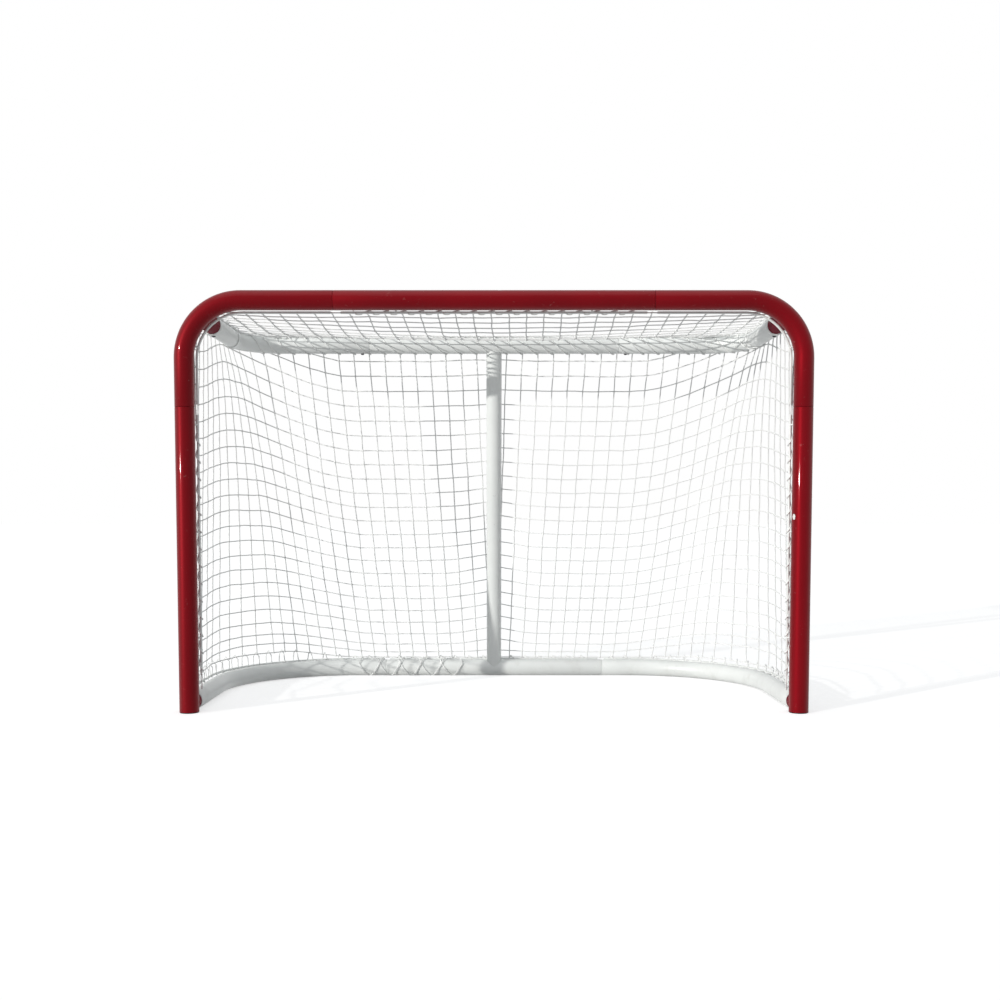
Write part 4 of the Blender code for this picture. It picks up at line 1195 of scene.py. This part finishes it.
class GOAL_OT_lacing(bpy.types.Operator):
    """Cord that ties the nets to the rear frames and to the rods"""
    bl_idname = "goal.lacing"
    bl_label = "Lacing"

    def execute(self, context):
        tree = cord_tree()
        self.top(context, tree)
        self.rods(context, tree)
        self.base(context, tree)
        return {"FINISHED"}

    def top(self, context, tree):
        """Round the white top frame, with strokes that slant down to the right."""
        sizes = context.scene.goal_net
        over = sizes.twine + OVER_TWINE
        radius_at = bumped(TUBE_R + sizes.cord / 2 + TUBE_CLEAR,
                           ((math.pi - ROOF_SEAT, over, TUBE_SWELL),
                            (HANG_SLOPE, over, TUBE_SWELL)))
        pitch = sizes.lacing_pitch
        turns = 2 * int(TOP_LACED / pitch)

        def top_at(run):
            return *top_rail(context, run), Z_AXIS

        def slanting(share):
            """The cord runs on in the first half of a turn, and a little back in the second."""
            return share * 3.6 if share < 0.5 else 1.8 - (share - 0.5) * 1.6
        runs = [wrapped(top_at, TOP_LACED_SHIFT - turns * pitch / 2, turns, pitch, radius_at,
                        slanting, TUBE_TURN_STEPS, 90)]
        arm_run = turns * pitch / 2 + ARM_TURN_GAP
        runs += [wrapped(top_at, start, 1, ARM_PITCH, radius_at, lambda share: share,
                         TUBE_TURN_STEPS, 90) for start in (arm_run, -arm_run - ARM_PITCH)]
        end = rail_length(SIDE_X, TOP_DEPTH, context.scene.goal_tubes.top_bend_radius,
                          STRANDS_END_Y)
        for side, _ in HALVES:
            runs += [self.strand(context, side, strand, end) for strand in range(len(STRAND_LAYS))]
            for place in KNOTS_FROM_END:
                axis, outward = top_rail(context, side * (end - place))
                spot = axis + (TUBE_R + KNOT_OFF) * (KNOT_UP * Z_AXIS - KNOT_IN * outward)
                runs.append(knot_points(spot, KNOT_R, place * 30))
        cord_piece(tree, context, "top_lacing", runs)

    def strand(self, context, side, strand, end):
        """One of the strands that lie along the inner side of a top arm."""
        start = STRANDS_START + STRAND_SHIFT * strand
        points = []
        for index in range(STRAND_POINTS):
            share = index / (STRAND_POINTS - 1)
            axis, outward = top_rail(context, side * (start + (end - start) * share))
            sway = STRAND_SWAY * math.sin(index * 0.45 + strand * 2.1)
            angle = math.radians(STRAND_LAYS[strand] + sway
                                 + STRAND_EASE * (1 - smooth(0.0, 0.30, share)))
            points.append(axis + (TUBE_R + context.scene.goal_net.cord / 2 + STRAND_CLEAR)
                          * turned(outward, Z_AXIS, angle))
        return points

    def rods(self, context, tree):
        """Loops round the rods behind the crossbar and the posts."""
        sizes = context.scene.goal_net
        pitch = sizes.lacing_pitch
        radius_at = bumped(ROD_R + sizes.cord / 2 + ROD_CLEAR,
                           ((0.0, sizes.twine + OVER_TWINE, ROD_SWELL),))
        turns = int(BAR_LACED / pitch)
        run = round_rod(lambda x: (at(x, ROD_BACK, BAR_Z - ROD_INWARD), Y_AXIS, Z_AXIS),
                        -turns * pitch / 2, turns, pitch, radius_at, 90)
        cord_piece(tree, context, "crossbar_lacing", [run], THIN_CORD_R)
        turns = int(POST_LACED / pitch)
        for side, word in HALVES:
            x = side * (POST_X - ROD_INWARD)
            run = round_rod(lambda z: (at(x, ROD_BACK, z), Y_AXIS, -side * X_AXIS),
                            POST_LACED_FROM, turns, pitch, radius_at, 0)
            cord_piece(tree, context, word + "_post_lacing", [run])

    def base(self, context, tree):
        """Loops round the rods above the base frame, and a crossed lacing on the rear bar."""
        sizes = context.scene.goal_net
        pitch = sizes.lacing_pitch

        def rod_at(run):
            axis, outward = base_rail(context, run)
            return axis + outward * ROD_BASE_OUT + Z_AXIS * ROD_BASE_UP, outward, Z_AXIS

        def radius_at(angle, place):
            """The loops reach up over the edge of the net, which is higher on the left."""
            base = sizes.lean + abs(place)
            wide = max(0.0, base - EVEN_BASE_RUN) / WIDE_PITCH
            column = math.copysign(min(base / sizes.base_pitch, sizes.even_columns + wide + 1.0),
                                   place)
            reach = NET_HEIGHT * border_rise(column, sizes.columns) + sizes.twine + LOOP_SLACK
            return (ROD_R + sizes.cord / 2 + ROD_CLEAR
                    + reach * swell(angle, math.pi / 2, BASE_SWELL))
        front = rail_length(POST_X, BASE_DEPTH, context.scene.goal_tubes.base_bend_radius,
                            ARM_LACED_TO_Y)
        for word, low, high, more in (
                ("rear", -REAR_LACED_TO, REAR_LACED_TO, self.crossed(context)),
                ("left", -front, -ARM_LACED_FROM, []), ("right", ARM_LACED_FROM, front, [])):
            turns = int((high - low) / pitch)
            run = round_rod(rod_at, (low + high - turns * pitch) / 2, turns, pitch, radius_at, -90)
            cord_piece(tree, context, "base_" + word + "_lacing", [run, *more])

    def crossed(self, context):
        """Two windings of opposite hand on the left half of the rear bar.

        They cross on its front; each covers half of its pitch on the way down or up there.
        """
        half = context.scene.goal_net.cord / 2
        runs = []
        for hand, knee, lift in ((1, 0.28, TUBE_CLEAR), (-1, 0.72, TUBE_CLEAR + 2 * half)):
            points = []
            for index in range(CROSSED_TURNS * CROSSED_STEPS + 1):
                turn, share = divmod(index / CROSSED_STEPS, 1.0)
                gone = 0.5 * min(share / knee, 1.0) + 0.5 * max(0.0, share - knee) / (1 - knee)
                point = (at(CROSSED_START + CROSSED_PITCH * (turn + gone), BASE_DEPTH, BASE_Z)
                         + (TUBE_R + half + lift)
                         * turned(Y_AXIS, Z_AXIS, CROSSED_AT + hand * math.tau * share))
                point.z = max(point.z, half + GROUND_GAP)
                points.append(point)
            runs.append(points)
        return runs


ROD_SIDES, LUG_SIDES = 16, 12
ROD_CORNER_STEPS, ROD_BEND_STEPS = 28, 40

# Run and radius: a rod from its tip, a lug from the skin of its tube, and the same lug at the
# axis of the rod
ROD_TIP = ((0.0, ROD_R * 0.55), (0.0006, ROD_R * 0.88), (0.0018, ROD_R))
LUG_FOOT = ((-0.0004, 0.0046), (0.0008, 0.0040), (0.0020, 0.0031))
LUG_HEAD = ((-ROD_R - 0.0010, 0.0031), (-ROD_R * 0.4, 0.0042), (0.0, 0.0030))

# Where the lugs stand, as in the solids
BAR_LUGS_X, REAR_LUGS_X = (-0.30, 0.0, 0.30), (-0.30, 0.30)
CORNER_LUG_ANGLES = (30.0, 75.0)    # degrees down from the top of the bend
POST_LUG_SHARES = (2 / 7, 4 / 7, 6 / 7)     # of the way from the net's top edge to its base edge
ARM_LUG_RUNS = (0.72, 1.02, 1.32)


class GOAL_OT_lacing_rods(bpy.types.Operator):
    """Thin rods on lugs that the edges of the net are laced to"""
    bl_idname = "goal.lacing_rods"
    bl_label = "Lacing rods"

    def execute(self, context):
        self.level(context, "crossbar", 0, BAR_Z, Y_AXIS * ROD_BACK - Z_AXIS * ROD_INWARD,
                   Y_AXIS, BAR_LUGS_X)
        for side, word in HALVES:
            self.corner(context, side, word)
            self.post(context, side, word)
            self.base_arm(context, side, word)
        self.level(context, "base_rear", BASE_DEPTH, BASE_Z,
                   Y_AXIS * ROD_BASE_OUT + Z_AXIS * ROD_BASE_UP, Z_AXIS, REAR_LUGS_X)
        return {"FINISHED"}

    def rod(self, context, name, node, path, square, lugs):
        """A round rod with rounded tips, and short lugs with a weld at each end.

        A lug is given by its foot on the axis of the tube, the way from there to the axis
        of the rod and the direction of both.
        """
        shape = Shape()
        shape.skin([round_section(point, along, square, radius, ROD_SIDES)
                    for point, along, radius in ended_path(path, ROD_TIP, ROD_R)])
        for foot, toward, along in lugs:
            way = toward.normalized()
            rows = [(TUBE_R + run, radius) for run, radius in LUG_FOOT]
            rows += [(toward.length + run, radius) for run, radius in LUG_HEAD]
            shape.skin([round_section(foot + way * run, way, along, radius, LUG_SIDES)
                        for run, radius in rows if run <= toward.length])
        shape.settle(context, name, "white_paint", node)

    def level(self, context, word, depth, height, toward, square, lugs_x):
        """A rod from left to right beside a tube, which lies at a depth and a height."""
        node = word + "_lacing_rod"
        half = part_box(node)[1].x
        path = [(at(x, depth, height) + toward, X_AXIS) for x in (-half, half)]
        self.rod(context, word + "_rod", node, path, square,
                 [(at(x, depth, height), toward, X_AXIS) for x in lugs_x])

    def corner(self, context, side, word):
        node = word + "_corner_lacing_rod"
        low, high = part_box(node)
        radius = context.scene.goal_tubes.corner_radius - ROD_INWARD
        x, height = side * (POST_X - ROD_INWARD), BAR_Z - ROD_INWARD
        path = bent_path(at(low.x if side > 0 else high.x, ROD_BACK, height),
                         at(x, ROD_BACK, height), at(x, ROD_BACK, low.z), radius,
                         ROD_CORNER_STEPS)
        middle = at(side * (POST_X - radius - ROD_INWARD), 0, height - radius)
        lugs = []
        for degrees in CORNER_LUG_ANGLES:
            angle = math.radians(degrees)
            out = turned(Z_AXIS, side * X_AXIS, angle)
            lugs.append((middle + out * (radius + ROD_INWARD), Y_AXIS * ROD_BACK - out * ROD_INWARD,
                         turned(side * X_AXIS, -Z_AXIS, angle)))
        self.rod(context, word + "_corner_rod", node, path, Y_AXIS, lugs)

    def post(self, context, side, word):
        node = word + "_post_lacing_rod"
        ends = [(at(side * (POST_X - ROD_INWARD), ROD_BACK, end.z), Z_AXIS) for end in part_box(node)]
        top, base = TOP_Z + HANG_UP, BASE_Z + ROD_BASE_UP + BORDER_RISE
        toward = Y_AXIS * ROD_BACK - X_AXIS * side * ROD_INWARD
        self.rod(context, word + "_post_rod", node, ends, Y_AXIS,
                 [(at(side * POST_X, 0, top + (base - top) * share), toward, Z_AXIS)
                  for share in POST_LUG_SHARES])

    def base_arm(self, context, side, word):
        node = "base_" + word + "_lacing_rod"
        low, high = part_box(node)
        x = side * (POST_X + ROD_BASE_OUT)
        depth, height = BASE_DEPTH + ROD_BASE_OUT, BASE_Z + ROD_BASE_UP
        path = bent_path(at(x, low.y - FRONT_Y, height), at(x, depth, height),
                         at(low.x if side > 0 else high.x, depth, height),
                         context.scene.goal_tubes.base_bend_radius + ROD_BASE_OUT,
                         ROD_BEND_STEPS)
        lugs = []
        for run in ARM_LUG_RUNS:
            axis, outward = base_rail(context, side * run)
            lugs.append((axis, outward * ROD_BASE_OUT + Z_AXIS * ROD_BASE_UP,
                         Z_AXIS.cross(outward)))
        self.rod(context, node + "_rod", node, path, Z_AXIS, lugs)


# Lamps: name, direction that they shine from, strength, spread in degrees and colour
LAMPS = (("Key", Vector((-0.733, -0.648, 0.207)), 2.35, 0.8, (1.0, 0.985, 0.955)),
         ("Overhead", Vector((-0.10, -0.35, 0.93)), 0.70, 50.0, (0.97, 0.985, 1.0)))
LAMP_DISTANCE = 4
FILL, FILL_COLOUR = 0.36, (0.93, 0.97, 1.0, 1.0)
PLAIN_WHITE = (1.0, 1.0, 1.0, 1.0)
FLOOR_REACH = 60.0
FLOOR_SHADES = (0.60, 0.60, 0.60, 1.0), (0.62, 0.62, 0.62, 1.0)
FLOOR_GLOW = 0.60
CAMERA_DISTANCE = 3.67          # from the front plane of the goal
CAMERA_HEIGHT = 0.617
CAMERA_TILT = math.radians(3.57)    # downwards
CAMERA_LENS = {"sensor_width": 36.0, "lens": 42.95, "shift_x": 0.006, "shift_y": 0.0876}


class GOAL_OT_stage(bpy.types.Operator):
    """Plain floor, white surroundings, a low key light, a soft overhead light and the camera"""
    bl_idname = "goal.stage"
    bl_label = "Stage"

    def execute(self, context):
        scene = context.scene
        scene.view_settings.view_transform = "Standard"
        self.floor()
        self.world(scene)
        for name, toward, energy, spread, colour in LAMPS:
            data = bpy.data.lights.new(name, "SUN")
            data.energy, data.angle, data.color = energy, math.radians(spread), colour
            lamp = new_object(name, data)
            lamp.location = toward * LAMP_DISTANCE
            lamp.rotation_euler = toward.to_track_quat("Z", "Y").to_euler()
        lens = bpy.data.cameras.new("Camera")
        for key, value in CAMERA_LENS.items():
            setattr(lens, key, value)
        scene.camera = new_object("Camera", lens)
        scene.camera.location = at(0, -CAMERA_DISTANCE, CAMERA_HEIGHT)
        scene.camera.rotation_euler = (math.pi / 2 - CAMERA_TILT, 0.0, 0.0)
        return {"FINISHED"}

    def floor(self):
        """A plain floor that is white where it is seen, but for the goal's shadow."""
        mesh = bpy.data.meshes.new("Floor")
        corners = ((-1, -1), (1, -1), (1, 1), (-1, 1))
        mesh.from_pydata([(x * FLOOR_REACH, y * FLOOR_REACH, 0) for x, y in corners], [],
                         [(0, 1, 2, 3)])
        floor = new_object("Floor", mesh)
        finish = Finish("Floor")
        shade = finish.mixed(finish.noise(5.0, 3.0), *FLOOR_SHADES)
        diffuse = finish.node("ShaderNodeBsdfDiffuse", None, {"Color": shade})
        glow = finish.node("ShaderNodeEmission", None,
                           {"Color": PLAIN_WHITE, "Strength": FLOOR_GLOW})
        lit = finish.node("ShaderNodeAddShader", None, {0: diffuse, 1: glow})
        mix = finish.node("ShaderNodeMixShader", None, {0: finish.seen_rays(), 1: diffuse, 2: lit})
        finish.node("ShaderNodeOutputMaterial", None, {"Surface": mix})
        mesh.materials.append(finish.material)

    def world(self, scene):
        """Cool fill light on the goal, and plain white where the surroundings are seen."""
        scene.world = bpy.data.worlds.new("Studio")
        scene.world.use_nodes = True
        sky = Nodes(scene.world.node_tree)
        fill = sky.node("ShaderNodeBackground", None, {"Color": FILL_COLOUR, "Strength": FILL})
        white = sky.node("ShaderNodeBackground", None, {"Color": PLAIN_WHITE, "Strength": 1.0})
        mix = sky.node("ShaderNodeMixShader", None, {0: sky.seen_rays(), 1: fill, 2: white})
        sky.node("ShaderNodeOutputWorld", None, {"Surface": mix})


STEPS = (GOAL_OT_stage, GOAL_OT_front_frame, GOAL_OT_feet, GOAL_OT_top_frame, GOAL_OT_base_frame,
         GOAL_OT_upright, GOAL_OT_screws, GOAL_OT_lacing_rods, GOAL_OT_nets, GOAL_OT_lacing)
SETTINGS = {"goal_tubes": GoalTubeSizes, "goal_net": GoalNetSizes, "goal_colours": GoalColours}


class GOAL_PT_panel(bpy.types.Panel):
    """Steps and sizes of the goal"""
    bl_label = "Street hockey goal"
    bl_idname = "GOAL_PT_panel"
    bl_space_type = "VIEW_3D"
    bl_region_type = "UI"
    bl_category = "Goal"

    def draw(self, context):
        for step in STEPS:
            self.layout.operator(step.bl_idname)
        for group in SETTINGS:
            settings = getattr(context.scene, group)
            box = self.layout.box()
            for name in settings.bl_rna.properties.keys():
                if name not in ("rna_type", "name"):
                    box.prop(settings, name)


CLASSES = (*SETTINGS.values(), *STEPS, GOAL_PT_panel)


def register():
    for part in CLASSES:
        bpy.utils.register_class(part)
    for name, group in SETTINGS.items():
        setattr(bpy.types.Scene, name, bpy.props.PointerProperty(type=group))


def unregister():
    for name in SETTINGS:
        delattr(bpy.types.Scene, name)
    for part in reversed(CLASSES):
        bpy.utils.unregister_class(part)


def main():
    register()
    bpy.ops.goal.stage()
    bpy.ops.goal.front_frame()
    bpy.ops.goal.feet()
    bpy.ops.goal.top_frame()
    bpy.ops.goal.base_frame()
    bpy.ops.goal.upright()
    bpy.ops.goal.screws()
    bpy.ops.goal.lacing_rods()
    bpy.ops.goal.nets()
    bpy.ops.goal.lacing()


if __name__ == "__main__":
    main()
